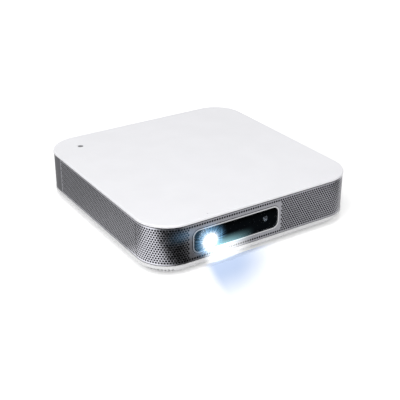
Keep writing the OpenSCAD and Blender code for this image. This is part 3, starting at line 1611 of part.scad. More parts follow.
top_cover();
base_pan();
inner_frame();
front_grille();
left_grille();
right_grille();
rear_cover();
rubber_feet();
case_screws();
tripod_insert();
window_ring();
window_glass();
window_mask();
sensor_board();
focus_camera();
lens_barrel();
front_lens();
rear_lens();
lens_mount();
focus_ring();
focus_pinion();
focus_motor();
engine_housing();
imager_board();
imager_heatsink();
led_blocks();
heat_pipes();
fin_stack();
exhaust_fan_frame();
exhaust_fan_rotor();
blower_case();
blower_rotor();
main_board();
power_board();
hdmi_socket();
usb_socket();
dc_inlet();
audio_socket();
left_speaker();
left_cone();
right_speaker();
right_cone();
power_button();
button_board();
drive_case();
drive_lid();
tray();
tray_bezel();
eject_button();
front_rail();
rear_rail();
traverse_plate();
spindle_motor();
spindle_hub();
guide_rods();
lead_screw();
sled_motor();
pickup_sled();
drive_cable();
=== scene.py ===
"""Looks, studio and camera for a flat portable projector with a disc drive in its right side.

Metres. +Z is up, the projection window faces -Y, the disc tray slides out along +X.
"""

import json
import math
import random

import bmesh
import bpy
from mathutils import Matrix, Vector


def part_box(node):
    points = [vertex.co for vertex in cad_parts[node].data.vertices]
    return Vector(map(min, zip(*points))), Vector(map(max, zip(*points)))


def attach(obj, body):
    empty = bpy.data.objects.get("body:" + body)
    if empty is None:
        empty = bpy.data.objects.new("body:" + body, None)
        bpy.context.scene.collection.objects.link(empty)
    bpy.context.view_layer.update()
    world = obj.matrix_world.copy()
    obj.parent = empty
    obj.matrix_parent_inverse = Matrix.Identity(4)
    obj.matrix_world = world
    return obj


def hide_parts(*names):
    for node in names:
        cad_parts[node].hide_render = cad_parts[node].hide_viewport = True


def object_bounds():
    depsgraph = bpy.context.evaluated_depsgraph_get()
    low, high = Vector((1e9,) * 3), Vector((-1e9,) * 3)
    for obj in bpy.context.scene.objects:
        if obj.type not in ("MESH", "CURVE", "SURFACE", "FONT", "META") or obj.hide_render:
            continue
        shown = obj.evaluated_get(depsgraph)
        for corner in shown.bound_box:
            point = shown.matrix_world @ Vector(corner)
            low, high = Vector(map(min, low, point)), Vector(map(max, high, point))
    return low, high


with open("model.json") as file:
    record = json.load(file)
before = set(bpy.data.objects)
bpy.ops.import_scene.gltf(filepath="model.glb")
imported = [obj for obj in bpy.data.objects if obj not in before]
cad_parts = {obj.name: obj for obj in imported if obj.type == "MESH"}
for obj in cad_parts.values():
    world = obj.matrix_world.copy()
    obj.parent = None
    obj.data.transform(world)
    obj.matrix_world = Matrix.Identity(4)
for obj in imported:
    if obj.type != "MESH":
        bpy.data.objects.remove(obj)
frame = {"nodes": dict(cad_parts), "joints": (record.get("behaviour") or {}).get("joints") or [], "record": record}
cad_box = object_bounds()
nodes = frame["nodes"]
joints = {joint["name"]: joint for joint in frame["joints"]}
mounts = {mount["name"]: mount for mount in frame["record"]["mounts"]}
MM = 0.001

# Camera, from a perspective fit of the case's edges in the photograph
CAMERA_PLACE = Vector((-0.3572, -0.5623, 0.3352))
CAMERA_TARGET = Vector((0.00258, -0.0048, 0.004))
CAMERA_LENS = 75.84
SENSOR = 36.0

# ---------- node helpers ----------


def new_material(name, colour, rough, metal=0.0, **sockets):
    """A material whose shader holds these plain values."""
    mat = bpy.data.materials.new(name)
    mat.use_nodes = True
    shader = mat.node_tree.nodes["Principled BSDF"]
    shader.inputs["Base Color"].default_value = (*colour, 1)
    shader.inputs["Roughness"].default_value = rough
    shader.inputs["Metallic"].default_value = metal
    for socket, value in sockets.items():
        shader.inputs[socket.replace("_", " ")].default_value = value
    return mat


def add_node(mat, kind, **values):
    """A node with these input values, by input name with _ for a space."""
    node = mat.node_tree.nodes.new(kind)
    for socket, value in values.items():
        node.inputs[socket.replace("_", " ")].default_value = value
    return node


def link(mat, source, target):
    mat.node_tree.links.new(source, target)


def place(mat, stretch=(1, 1, 1)):
    """The surface's own position, in metres times stretch."""
    position = add_node(mat, "ShaderNodeTexCoord")
    mapping = add_node(mat, "ShaderNodeMapping", Scale=stretch)
    link(mat, position.outputs["Object"], mapping.inputs["Vector"])
    return mapping.outputs["Vector"]


def noise(mat, size, detail=3.0, stretch=(1, 1, 1)):
    """Noise whose blobs are about size metres across."""
    texture = add_node(mat, "ShaderNodeTexNoise", Scale=1 / size, Detail=detail)
    link(mat, place(mat, stretch), texture.inputs["Vector"])
    return texture.outputs["Fac"]


def ramp(mat, factor, stops):
    """A colour ramp through stops of (position, colour)."""
    node = add_node(mat, "ShaderNodeValToRGB")
    elements = node.color_ramp.elements
    while len(elements) < len(stops):
        elements.new(0.5)
    for element, (position, colour) in zip(elements, stops):
        element.position = position
        element.color = (*colour, 1)
    link(mat, factor, node.inputs["Fac"])
    return node.outputs["Color"]


def spread(mat, factor, low, high):
    """factor from 0.3 to 0.7 mapped to low to high."""
    node = add_node(mat, "ShaderNodeMapRange", From_Min=0.3, From_Max=0.7, To_Min=low, To_Max=high)
    link(mat, factor, node.inputs["Value"])
    return node.outputs["Result"]


def maths(mat, operation, *values):
    """A Math node over plain numbers and sockets."""
    node = mat.node_tree.nodes.new("ShaderNodeMath")
    node.operation = operation
    for socket, value in zip(node.inputs, values):
        if isinstance(value, (int, float)):
            socket.default_value = value
        else:
            link(mat, value, socket)
    return node.outputs["Value"]


def product(mat, first, *others):
    """The product of sockets and plain numbers."""
    for other in others:
        first = maths(mat, "MULTIPLY", first, other)
    return first


def bell(mat, value, centre, width):
    """1 where value is centre, and next to nothing two widths from it."""
    away = maths(mat, "DIVIDE", maths(mat, "SUBTRACT", value, centre), width)
    return maths(mat, "EXPONENT", product(mat, away, away, -1.0))


def fade(mat, value, start, end, low=0.0, high=1.0):
    """A smooth step of value between start and end."""
    node = add_node(mat, "ShaderNodeMapRange", From_Min=start, From_Max=end, To_Min=low, To_Max=high)
    node.interpolation_type = "SMOOTHSTEP"
    link(mat, value, node.inputs["Value"])
    return node.outputs["Result"]


def axes(mat, vector):
    """The three numbers of a vector socket."""
    split = add_node(mat, "ShaderNodeSeparateXYZ")
    link(mat, vector, split.inputs["Vector"])
    return split.outputs["X"], split.outputs["Y"], split.outputs["Z"]


def blend(mat, factor, first, second):
    """A colour between two colours, each a tuple or a socket."""
    node = add_node(mat, "ShaderNodeMix")
    node.data_type = "RGBA"
    link(mat, factor, node.inputs["Factor"])
    colour_in = [socket for socket in node.inputs if socket.type == "RGBA"]
    for socket, value in zip(colour_in, (first, second)):
        if isinstance(value, tuple):
            socket.default_value = (*value, 1)
        else:
            link(mat, value, socket)
    return [socket for socket in node.outputs if socket.type == "RGBA"][0]


def shader_of(mat):
    return mat.node_tree.nodes["Principled BSDF"]


def mottle(mat, amount, size):
    """Lets the colour vary by amount, over blobs of size metres."""
    base = shader_of(mat).inputs["Base Color"]
    colour = Vector(base.default_value[:3])
    factor = noise(mat, size)
    link(mat, ramp(mat, factor, [(0.3, colour * (1 - amount)), (0.7, colour * (1 + amount))]), base)


def wear(mat, change, size):
    """Lets the roughness vary by change, over blobs of size metres."""
    socket = shader_of(mat).inputs["Roughness"]
    rough = socket.default_value
    link(mat, spread(mat, noise(mat, size, 5.0), rough - change, rough + change), socket)


def grain(mat, height, size, stretch=(1, 1, 1), strength=1.0):
    """Fine relief, height metres deep."""
    bump = add_node(mat, "ShaderNodeBump", Distance=height, Strength=strength)
    link(mat, noise(mat, size, 4.0, stretch), bump.inputs["Height"])
    link(mat, bump.outputs["Normal"], shader_of(mat).inputs["Normal"])


def show(mat, shader):
    """Puts a shader's output on the surface."""
    link(mat, shader, mat.node_tree.nodes["Material Output"].inputs["Surface"])


def bare_material(name):
    """A material with only its output node."""
    mat = bpy.data.materials.new(name)
    mat.use_nodes = True
    mat.node_tree.nodes.clear()
    mat.node_tree.nodes.new("ShaderNodeOutputMaterial")
    return mat


def plastic(name, colour, rough, grain_height=0.02 * MM, grain_size=0.5 * MM, **sockets):
    mat = new_material(name, colour, rough, **sockets)
    mottle(mat, 0.015, 25 * MM)
    wear(mat, 0.04, 8 * MM)
    grain(mat, grain_height, grain_size)
    return mat


def metal(name, colour, rough, brush=(1, 1, 1), **sockets):
    mat = new_material(name, colour, rough, 1.0, **sockets)
    mottle(mat, 0.04, 6 * MM)
    wear(mat, 0.05, 3 * MM)
    grain(mat, 0.01 * MM, 0.4 * MM, brush)
    return mat


def add_traces(mat, colour):
    """Copper lines that show through the paint of a circuit board."""
    x, y, _ = axes(mat, place(mat))
    base = shader_of(mat).inputs["Base Color"]
    source = base.links[0].from_socket
    for along, size in ((x, 9 * MM), (y, 13 * MM)):
        lines = maths(mat, "PINGPONG", along, 0.6 * MM)
        drawn = fade(mat, lines, 0.42 * MM, 0.5 * MM)
        here = fade(mat, noise(mat, size, 0.0), 0.53, 0.55)
        source = blend(mat, product(mat, drawn, here), source, colour)
    link(mat, source, base)


def add_stripes(mat, pitch, colour):
    """Parallel conductors of a flat cable, side by side along Y."""
    across = axes(mat, place(mat))[1]
    base = shader_of(mat).inputs["Base Color"]
    drawn = fade(mat, maths(mat, "PINGPONG", across, pitch / 2), 0.22 * pitch, 0.3 * pitch)
    link(mat, blend(mat, drawn, base.links[0].from_socket, colour), base)


# Outline of the perforated sheet: half its width and depth, and its corner radius
sheet_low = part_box("front_grille")[0]
SHEET_HALF = (-sheet_low.x, -sheet_low.y)
SHEET_R = 27.5 * MM
GRILLE_SILVER = (0.435, 0.435, 0.475)


def paint_shade_in_holes(mat):
    """Paints shade on what lies under the sheet's outer face, the walls of its holes, and along the holes' edges.
    """
    x, y, _ = axes(mat, place(mat))
    sides = [
        maths(mat, "SUBTRACT", maths(mat, "ABSOLUTE", value), half - SHEET_R)
        for value, half in zip((x, y), SHEET_HALF)
    ]
    beyond = [maths(mat, "MAXIMUM", side, 0.0) for side in sides]
    corner = maths(mat, "SQRT", maths(mat, "ADD", *[product(mat, b, b) for b in beyond]))
    within = maths(mat, "MINIMUM", maths(mat, "MAXIMUM", *sides), 0.0)
    depth = maths(mat, "SUBTRACT", SHEET_R, maths(mat, "ADD", corner, within))
    hole_shade = fade(mat, depth, 0.01 * MM, 0.08 * MM)
    shader = shader_of(mat)
    base = shader.inputs["Base Color"]
    # Painted shade: the walls of the holes are coloured near black and lose their reflection.
    link(mat, blend(mat, hole_shade, base.links[0].from_socket, (0.006, 0.006, 0.007)), base)
    paint_shade_at_edges(mat, 0.5 * MM)
    link(mat, maths(mat, "SUBTRACT", 1.0, hole_shade), shader.inputs["Specular IOR Level"])


def paint_shade_at_edges(mat, reach):
    """Paints shade on the metal along punched edges, as far as reach from them, from an ambient occlusion of the
    sheet.
    """
    near = add_node(mat, "ShaderNodeAmbientOcclusion", Distance=reach)
    near.inside = True
    near.only_local = True
    near.samples = 8
    base = shader_of(mat).inputs["Base Color"]
    # Painted shade: the metal darkens where the occlusion finds the hole walls near.
    edge_shade = fade(mat, near.outputs["AO"], 0.97, 0.72, 0.0, 0.85)
    link(mat, blend(mat, edge_shade, base.links[0].from_socket, (0.01, 0.01, 0.012)), base)


def pass_light(mat, tint):
    """Lets the light of lamps through a clear thing."""
    clear = add_node(mat, "ShaderNodeBsdfTransparent", Color=(*tint, 1))
    mixed = add_node(mat, "ShaderNodeMixShader")
    path = add_node(mat, "ShaderNodeLightPath")
    link(mat, path.outputs["Is Shadow Ray"], mixed.inputs[0])
    link(mat, shader_of(mat).outputs["BSDF"], mixed.inputs[1])
    link(mat, clear.outputs["BSDF"], mixed.inputs[2])
    show(mat, mixed.outputs["Shader"])


# ---------- materials ----------

WINDOW_TINT = (0.82, 0.86, 0.9)

cover_white = plastic("cover_white", (0.86, 0.86, 0.89), 0.36, 0.004 * MM, 0.35 * MM)
base_white = plastic("base_white", (0.76, 0.76, 0.77), 0.3, 0.003 * MM, 0.5 * MM)
grille_silver = metal("grille_silver", GRILLE_SILVER, 0.3)
paint_shade_in_holes(grille_silver)
rear_grey = plastic("rear_grey", (0.1, 0.1, 0.11), 0.5)
frame_black = plastic("frame_black", (0.012, 0.012, 0.014), 0.6)
rubber = plastic("rubber", (0.02, 0.02, 0.02), 0.8, 0.05 * MM, 0.4 * MM)
steel = metal("steel", (0.55, 0.55, 0.57), 0.3)
brass = metal("brass", (0.75, 0.52, 0.2), 0.3)
ring_silver = metal("ring_silver", (0.8, 0.8, 0.83), 0.25)
ring_dark = metal("ring_dark", (0.16, 0.17, 0.19), 0.3)
glass = new_material("window_glass", WINDOW_TINT, 0.0, Transmission_Weight=1.0, IOR=1.03)
mottle(glass, 0.01, 20 * MM)
pass_light(glass, WINDOW_TINT)
mask_gloss = plastic(
    "mask_gloss", (0.02, 0.023, 0.027), 0.35, 0.001 * MM, 3 * MM, Specular_IOR_Level=0.04
)
lens_black = plastic("lens_black", (0.012, 0.012, 0.014), 0.35)
lens_glass = new_material("lens_glass", (0.85, 0.92, 0.98), 0.0, Transmission_Weight=1.0, IOR=1.6)
mottle(lens_glass, 0.02, 4 * MM)
cast_grey = metal("cast_grey", (0.2, 0.2, 0.21), 0.5)
board_green = plastic("board_green", (0.01, 0.09, 0.04), 0.35)
add_traces(board_green, (0.03, 0.2, 0.09))
aluminium = metal("aluminium", (0.7, 0.7, 0.72), 0.35)
copper = metal("copper", (0.8, 0.42, 0.27), 0.28)
socket_steel = metal("socket_steel", (0.65, 0.65, 0.67), 0.25)
socket_black = plastic("socket_black", (0.015, 0.015, 0.016), 0.45)
cone_paper = plastic("cone_paper", (0.03, 0.03, 0.03), 0.75, 0.05 * MM, 0.6 * MM)
button_grey = plastic("button_grey", (0.16, 0.165, 0.17), 0.4)
drive_steel = metal("drive_steel", (0.62, 0.63, 0.65), 0.32, (1, 12, 1))
tray_black = plastic("tray_black", (0.018, 0.018, 0.02), 0.45)
bezel_silver = metal("bezel_silver", (0.5, 0.5, 0.53), 0.4)
hub_grey = plastic("hub_grey", (0.2, 0.2, 0.21), 0.35)
sled_black = plastic("sled_black", (0.03, 0.03, 0.033), 0.4)
ribbon_white = plastic("ribbon_white", (0.65, 0.65, 0.62), 0.5)
add_stripes(ribbon_white, 1 * MM, (0.3, 0.32, 0.36))
gold = metal("gold", (0.9, 0.65, 0.25), 0.2)
part_tan = plastic("part_tan", (0.35, 0.26, 0.17), 0.4)
pickup_glass = new_material("pickup_glass", (0.35, 0.5, 0.75), 0.05, Specular_IOR_Level=0.8)
mottle(pickup_glass, 0.08, 2 * MM)
busy_green = new_material(
    "busy_green", (0.1, 0.45, 0.2), 0.15, Subsurface_Weight=0.3, Specular_IOR_Level=0.6
)
mottle(busy_green, 0.05, 1 * MM)

LOOKS = {
    "top_cover": cover_white,
    "base_pan": base_white,
    "inner_frame": frame_black,
    "front_grille": grille_silver,
    "left_grille": grille_silver,
    "right_grille": grille_silver,
    "rear_cover": rear_grey,
    "rubber_feet": rubber,
    "case_screws": steel,
    "tripod_insert": brass,
    "window_ring": ring_silver,
    "window_glass": glass,
    "window_mask": mask_gloss,
    "sensor_board": board_green,
    "focus_camera": lens_black,
    "lens_barrel": lens_black,
    "front_lens": lens_glass,
    "rear_lens": lens_glass,
    "lens_mount": cast_grey,
    "focus_ring": lens_black,
    "focus_pinion": brass,
    "focus_motor": steel,
    "engine_housing": cast_grey,
    "imager_board": board_green,
    "imager_heatsink": aluminium,
    "led_blocks": copper,
    "heat_pipes": copper,
    "fin_stack": aluminium,
    "exhaust_fan_frame": frame_black,
    "exhaust_fan_rotor": frame_black,
    "blower_case": frame_black,
    "blower_rotor": frame_black,
    "main_board": board_green,
    "power_board": board_green,
    "hdmi_socket": socket_steel,
    "usb_socket": socket_steel,
    "dc_inlet": socket_black,
    "audio_socket": socket_black,
    "left_speaker": frame_black,
    "left_cone": cone_paper,
    "right_speaker": frame_black,
    "right_cone": cone_paper,
    "power_button": button_grey,
    "button_board": board_green,
    "drive_case": drive_steel,
    "drive_lid": drive_steel,
    "tray": tray_black,
    "tray_bezel": bezel_silver,
    "eject_button": bezel_silver,
    "front_rail": drive_steel,
    "rear_rail": drive_steel,
    "traverse_plate": drive_steel,
    "spindle_motor": steel,
    "spindle_hub": hub_grey,
    "guide_rods": steel,
    "lead_screw": steel,
    "sled_motor": steel,
    "pickup_sled": sled_black,
    "drive_cable": ribbon_white,
}


def dress(name, mat):
    """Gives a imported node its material."""
    data = nodes[name].data
    data.materials.clear()
    data.materials.append(mat)


for name, mat in LOOKS.items():
    dress(name, mat)

# ---------- small pieces that the frame leaves out ----------


def piece(name, body, mat, mesh, smooth=False):
    """Adds a piece made of bmesh geometry, which rides on a body."""
    bmesh.ops.recalc_face_normals(mesh, faces=mesh.faces)
    data = bpy.data.meshes.new(name)
    mesh.to_mesh(data)
    mesh.free()
    data.materials.append(mat)
    if smooth:
        data.shade_smooth()
    thing = bpy.data.objects.new(name, data)
    bpy.context.scene.collection.objects.link(thing)
    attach(thing, body)
    return thing


def node_box(name):
    """A node's lowest and highest corner, in millimetres."""
    return [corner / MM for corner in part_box(name)]


def middle(name):
    """The middle of a node's box, in millimetres."""
    low, high = node_box(name)
    return (low + high) / 2


def add_box(mesh, low, high, bevel=0.0):
    """A box between two corners in millimetres, with rounded edges if bevel is more than 0."""
    low, high = Vector(low) * MM, Vector(high) * MM
    size = high - low
    at = Matrix.Translation((low + high) / 2) @ Matrix.Diagonal((*size, 1))
    made = bmesh.ops.create_cube(mesh, size=1, matrix=at)
    if bevel:
        edges = list({edge_shade for vert in made["verts"] for edge_shade in vert.link_edges})
        bmesh.ops.bevel(
            mesh, geom=edges, offset=bevel * MM, segments=2, affect="EDGES", profile=0.5
        )


def on_circle(radius, angle, height):
    """A point round the Z axis, from millimetres to metres."""
    return Vector((radius * math.cos(angle), radius * math.sin(angle), height)) * MM


def add_rings(mesh, profile, at, steps):
    """Circles of points, one for each (radius, height) in millimetres, about the Z axis of at."""
    angles = [2 * math.pi * step / steps for step in range(steps)]
    return [
        [mesh.verts.new(at @ on_circle(radius, angle, height)) for angle in angles]
        for radius, height in profile
    ]


def join_rings(mesh, below, above):
    """A band of faces between two circles of points."""
    steps = len(below)
    for step in range(steps):
        after = (step + 1) % steps
        mesh.faces.new((below[step], below[after], above[after], above[step]))


def cap_ends(mesh, loops):
    """Closes the first and the last loop of points."""
    mesh.faces.new(list(reversed(loops[0])))
    mesh.faces.new(loops[-1])


def add_turned(mesh, profile, at, steps=32):
    """A solid turned from a profile, closed at both ends."""
    rings = add_rings(mesh, profile, at, steps)
    for below, above in zip(rings, rings[1:]):
        join_rings(mesh, below, above)
    cap_ends(mesh, rings)


def add_open_ring(mesh, profile, at, steps=32):
    """A band turned from a profile whose last point joins its first."""
    rings = add_rings(mesh, profile, at, steps)
    for below, above in zip(rings, [*rings[1:], rings[0]]):
        join_rings(mesh, below, above)


def add_thread(mesh, at, root, crest, pitch, start, end, half_width, steps=28):
    """A helical ridge about the Z axis of at, in millimetres.

    It points inward where crest is under root.
    """
    count = int((end - start) / pitch * steps)
    half_tip = half_width * 0.25
    run_out = 10
    rows = []
    for step in range(count + 1):
        angle = 2 * math.pi * step / steps
        height = start + step * pitch / steps
        taper = min(1.0, step / run_out, (count - step) / run_out)
        tip = root + (crest - root) * taper
        corners = (root, -half_width), (tip, -half_tip), (tip, half_tip), (root, half_width)
        rows.append([
            mesh.verts.new(at @ on_circle(radius, angle, height + offset)) for radius, offset in corners
        ])
    for one, other in zip(rows, rows[1:]):
        join_rings(mesh, one, other)
    cap_ends(mesh, rows)
    bmesh.ops.recalc_face_normals(mesh, faces=mesh.faces)


def upward(x, y, z):
    """A place in millimetres whose Z axis points up."""
    return Matrix.Translation(Vector((x, y, z)) * MM)


def recorded_place(entry):
    """The place of a joint or a mount of the record, in millimetres."""
    return Vector(entry["pos_m"]) / MM


# The way the pickup slides. At rest, its lens is so far from the disc's middle, and its seat is so far
# under the sled's top.
sled_way = joints["sled_slide"]["axis"]
SLED_TURN = Matrix.Rotation(math.atan2(sled_way[1], sled_way[0]), 4, "Z")
PICKUP_REACH = 24.0
PICKUP_SEAT = 0.55
# Profile of a screw's head as (radius, height), from the bottom of its socket to its rim
SCREW_HEAD = [(0.55, 0.12), (0.55, 0.3), (1.0, 0.34), (1.35, 0.24), (1.5, 0.0)]


def screw_head(mesh, x, y, z, scale=1.0):
    """A pan head with a round-bottomed socket, its seat at height z."""
    add_turned(mesh, [(radius * scale, height) for radius, height in SCREW_HEAD], upward(x, y, z), 24)


def make_tripod_thread():
    """The quarter inch thread inside the tripod insert."""
    mesh = bmesh.new()
    inset = 0.9
    low, high = node_box("tripod_insert")
    x, y, _ = recorded_place(mounts["tripod_thread"])
    add_thread(
        mesh, upward(x, y, 0), root=2.62, crest=2.3, pitch=1.27,
        start=low.z + inset, end=high.z - inset, half_width=0.55,
    )
    piece("tripod_thread", "case", brass, mesh)


def make_lead_screw():
    """The lead screw with its real turns, instead of the frame's collars."""
    mesh = bmesh.new()
    at = upward(*recorded_place(joints["lead_screw_spin"]))
    axis = at @ SLED_TURN @ Matrix.Rotation(math.pi / 2, 4, "Y")
    add_turned(mesh, [(0.65, 1.1), (0.8, 1.25), (0.8, 60.2), (0.65, 60.35)], axis, 24)
    add_thread(
        mesh, axis, root=0.78, crest=1.09, pitch=3.0, start=14, end=57.5, half_width=0.75, steps=36
    )
    screw = piece("lead_screw_thread", "lead_screw", steel, mesh)
    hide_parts("lead_screw")


def add_contacts(mesh, socket, xs, half, ends, heights, bevel=0.0):
    """Contacts in a socket, at places xs along it from its middle.

    ends are how far they stop from its back and its mouth. heights are from its middle to their faces.
    """
    low, high = node_box(socket)
    centre = middle(socket)
    for x in xs:
        add_box(
            mesh,
            (centre.x + x - half, low.y + ends[0], centre.z + heights[0]),
            (centre.x + x + half, high.y - ends[1], centre.z + heights[1]),
            bevel,
        )


def make_contacts():
    """Gold contacts of the HDMI and USB sockets and of the audio jack."""
    mesh = bmesh.new()
    for count, heights in ((10, (0.88, 0.95)), (9, (-0.05, 0.02))):
        xs = [i - (count - 1) / 2 for i in range(count)]
        add_contacts(mesh, "hdmi_socket", xs, 0.22, (2, 2.2), heights)
    add_contacts(mesh, "usb_socket", (-3.5, -1.0, 1.0, 3.5), 0.6, (3, 1.8), (0.49, 0.6), 0.02)
    jack = middle("audio_socket")
    mouth = node_box("audio_socket")[1].y - 0.8
    ring = upward(jack.x, mouth, jack.z) @ Matrix.Rotation(-math.pi / 2, 4, "X")
    for depth in (-0.9, -4.5, -8.0):
        profile = [(1.9, depth), (1.66, depth + 0.15), (1.66, depth + 0.75), (1.9, depth + 0.9)]
        add_open_ring(mesh, profile, ring)
    piece("socket_contacts", "case", gold, mesh)


def make_pickup_lens():
    """The small domed lens on the pickup, with its rim."""
    mesh = bmesh.new()
    dome = [(2.15, 0.02), (2.15, 0.1)]
    dome += [(2.0 * math.cos(a), 0.1 + 0.42 * math.sin(a)) for a in (0.1, 0.4, 0.7, 1.0, 1.3, 1.5)]
    x, y, _ = recorded_place(joints["spindle_spin"])
    seat = node_box("pickup_sled")[1].z - PICKUP_SEAT
    add_turned(mesh, dome, upward(x, y, seat) @ SLED_TURN @ upward(PICKUP_REACH, 0, 0), 40)
    piece("pickup_lens", "sled", pickup_glass, mesh, smooth=True)


def make_busy_light():
    """The green light pipe in the tray's bezel."""
    mesh = bmesh.new()
    face = node_box("tray_bezel")[1].x
    y, z = 50.0, middle("tray_bezel").z
    add_box(mesh, (face - 2.4, y - 1.45, z - 0.55), (face - 0.05, y + 1.45, z + 0.55), 0.25)
    piece("busy_light", "tray", busy_green, mesh)


def make_screws():
    """Screws of the drive's lid and of the light engine's lid, in their seats."""
    mesh = bmesh.new()
    drive_xs, drive_ys, drive_seat = (-22, 28, 80), (-60, 60), node_box("drive_lid")[1].z - 0.38
    engine_xs, engine_ys, engine_seat = (-65, -41), (-60, 0.4), node_box("engine_housing")[1].z - 1.58
    for x in drive_xs:
        for y in drive_ys:
            screw_head(mesh, x, y, drive_seat, 1.1)
    for y in engine_ys:
        for x in engine_xs:
            screw_head(mesh, x, y, engine_seat, 1.15)
    piece("lid_screws", "case", steel, mesh)


def make_camera_ring():
    """The dark metal ring round the focus camera's lens."""
    mesh = bmesh.new()
    x, _, z = middle("focus_camera")
    face = node_box("focus_camera")[0].y + 0.02
    at = upward(x, face, z) @ Matrix.Rotation(math.pi / 2, 4, "X")
    add_open_ring(mesh, [(1.6, 0.0), (1.55, 0.2), (1.3, 0.28), (1.1, 0.1), (1.1, 0.0)], at, 48)
    piece("camera_ring", "case", ring_dark, mesh, smooth=True)


# Chips of the main board as (x0, y0, width, depth) from its corner, and where small parts may not lie
BOARD_THICK = 1.6
LEG_PITCH = 1.27
SMALL_PARTS = 90
PART_GAP = 0.5
CHIPS = [(57, 10, 14, 11), (57, 24, 14, 11), (14, 14, 12, 12)]
KEEP_CLEAR = [
    (0, 6, 6, 13), (32, 11, 21, 21), (56, 9, 16, 13), (56, 23, 16, 13), (13, 13, 14, 14), (77, 11, 10, 10),
    (29, 1, 11, 7), (43, 1, 11, 7), (89, 11, 7, 10), (13, 29, 8, 7), (23, 35, 18, 4), (74, 20, 22, 15),
    (17, 41, 9, 12), (33, 41, 18, 12), (54, 41, 20, 12), (81, 41, 14, 12), (2, 1, 6, 6), (2, 46, 6, 6),
    (92, 1, 6, 6), (92, 46, 6, 6),
]


def crowds(one, other):
    """True if two (x, y, width, depth) come nearer to each other than PART_GAP."""
    x, y, w, d = one
    a, b, c, e = other
    beside = x < a + c + PART_GAP and x + w > a - PART_GAP
    return beside and y < b + e + PART_GAP and y + d > b - PART_GAP


def make_board_parts():
    """Legs of the chips and small parts scattered between them, on the main board."""
    legs, parts = bmesh.new(), bmesh.new()
    x0, y0, under = node_box("main_board")[0]
    top = under + BOARD_THICK
    for cx, cy, width, depth in CHIPS:
        for i in range(int(depth / LEG_PITCH)):
            y = y0 + cy + 0.8 + i * LEG_PITCH
            for x, side in ((x0 + cx, -1), (x0 + cx + width, 1)):
                low, high = sorted((x, x + side * 1.0))
                add_box(legs, (low, y, top), (high, y + 0.5, top + 0.2))
    shuffle = random.Random(11)
    placed = []
    while len(placed) < SMALL_PARTS:
        x, y = shuffle.uniform(4, 95), shuffle.uniform(2, 50)
        turned = shuffle.random() < 0.5
        w, d = (1.6, 0.8) if turned else (0.8, 1.6)
        if any(crowds((x, y, w, d), taken) for taken in KEEP_CLEAR + placed):
            continue
        placed.append((x, y, w, d))
        low = (x0 + x, y0 + y, top)
        add_box(parts, low, (low[0] + w, low[1] + d, top + 0.55), 0.06)
        for end in (0, 1):
            if turned:
                cap = (low[0] + end * (w - 0.3) - 0.02, low[1] - 0.02), (0.34, d + 0.04)
            else:
                cap = (low[0] - 0.02, low[1] + end * (d - 0.3) - 0.02), (w + 0.04, 0.34)
            (cap_x, cap_y), (cap_w, cap_d) = cap
            add_box(legs, (cap_x, cap_y, top), (cap_x + cap_w, cap_y + cap_d, top + 0.58))
    piece("board_legs", "case", socket_steel, legs)
    piece("board_parts", "case", part_tan, parts)


make_tripod_thread()
make_lead_screw()
make_contacts()
make_pickup_lens()
make_busy_light()
make_screws()
make_camera_ring()
make_board_parts()

# ---------- studio ----------


def only_seen(tree):
    """1 for rays that show the backdrop: the camera's, and those that glossy and clear things send."""
    path = tree.nodes.new("ShaderNodeLightPath")
    seen = path.outputs["Is Camera Ray"]
    for other in ("Is Glossy Ray", "Is Transmission Ray"):
        larger = tree.nodes.new("ShaderNodeMath")
        larger.operation = "MAXIMUM"
        tree.links.new(seen, larger.inputs[0])
        tree.links.new(path.outputs[other], larger.inputs[1])
        seen = larger.outputs["Value"]
    return seen


AMBIENT = 0.5
# The floor's own glow: its strength near the case, lower there as painted shade round the case, and the distances
# between which it grows to 1
SHADED_FLOOR_GLOW = 0.39
GLOW_NEAR = 0.14
GLOW_FAR = 0.4


def make_world():
    """White where it is seen, and a dimmer light on the object."""
    world = bpy.data.worlds.new("studio")
    bpy.context.scene.world = world
    world.use_nodes = True
    tree = world.node_tree
    background = tree.nodes["Background"]
    strength = tree.nodes.new("ShaderNodeMapRange")
    strength.inputs["To Min"].default_value = AMBIENT
    strength.inputs["To Max"].default_value = 1.0
    tree.links.new(only_seen(tree), strength.inputs["Value"])
    tree.links.new(strength.outputs["Result"], background.inputs["Strength"])
    background.inputs["Color"].default_value = (1, 1, 1, 1)


def make_floor():
    """A white floor. Its own glow, for the rays that show it, is weaker near the case, a painted shade round it,
    and grows to full strength farther out.
    """
    bpy.ops.mesh.primitive_plane_add(size=6)
    floor = bpy.context.object
    floor.name = "floor"
    mat = bare_material("floor")
    both = add_node(mat, "ShaderNodeAddShader")
    diffuse = add_node(mat, "ShaderNodeBsdfDiffuse", Color=(0.8, 0.8, 0.8, 1))
    lift = add_node(mat, "ShaderNodeEmission")
    length = add_node(mat, "ShaderNodeVectorMath")
    length.operation = "LENGTH"
    link(mat, place(mat), length.inputs[0])
    # Painted shade: the floor's glow is weaker near the case.
    away = fade(mat, length.outputs["Value"], GLOW_NEAR, GLOW_FAR, SHADED_FLOOR_GLOW, 1.0)
    link(mat, product(mat, away, only_seen(mat.node_tree)), lift.inputs["Strength"])
    link(mat, diffuse.outputs["BSDF"], both.inputs[0])
    link(mat, lift.outputs["Emission"], both.inputs[1])
    show(mat, both.outputs["Shader"])
    floor.data.materials.append(mat)


def area_light(name, at, size, power, target=(0, 0, 0.02)):
    """A soft lamp that shines from at to target."""
    data = bpy.data.lights.new(name, "AREA")
    data.shape = "RECTANGLE"
    data.size, data.size_y = size
    data.energy = power
    lamp = bpy.data.objects.new(name, data)
    bpy.context.scene.collection.objects.link(lamp)
    lamp.location = at
    lamp.rotation_euler = (Vector(target) - lamp.location).to_track_quat("-Z", "Y").to_euler()


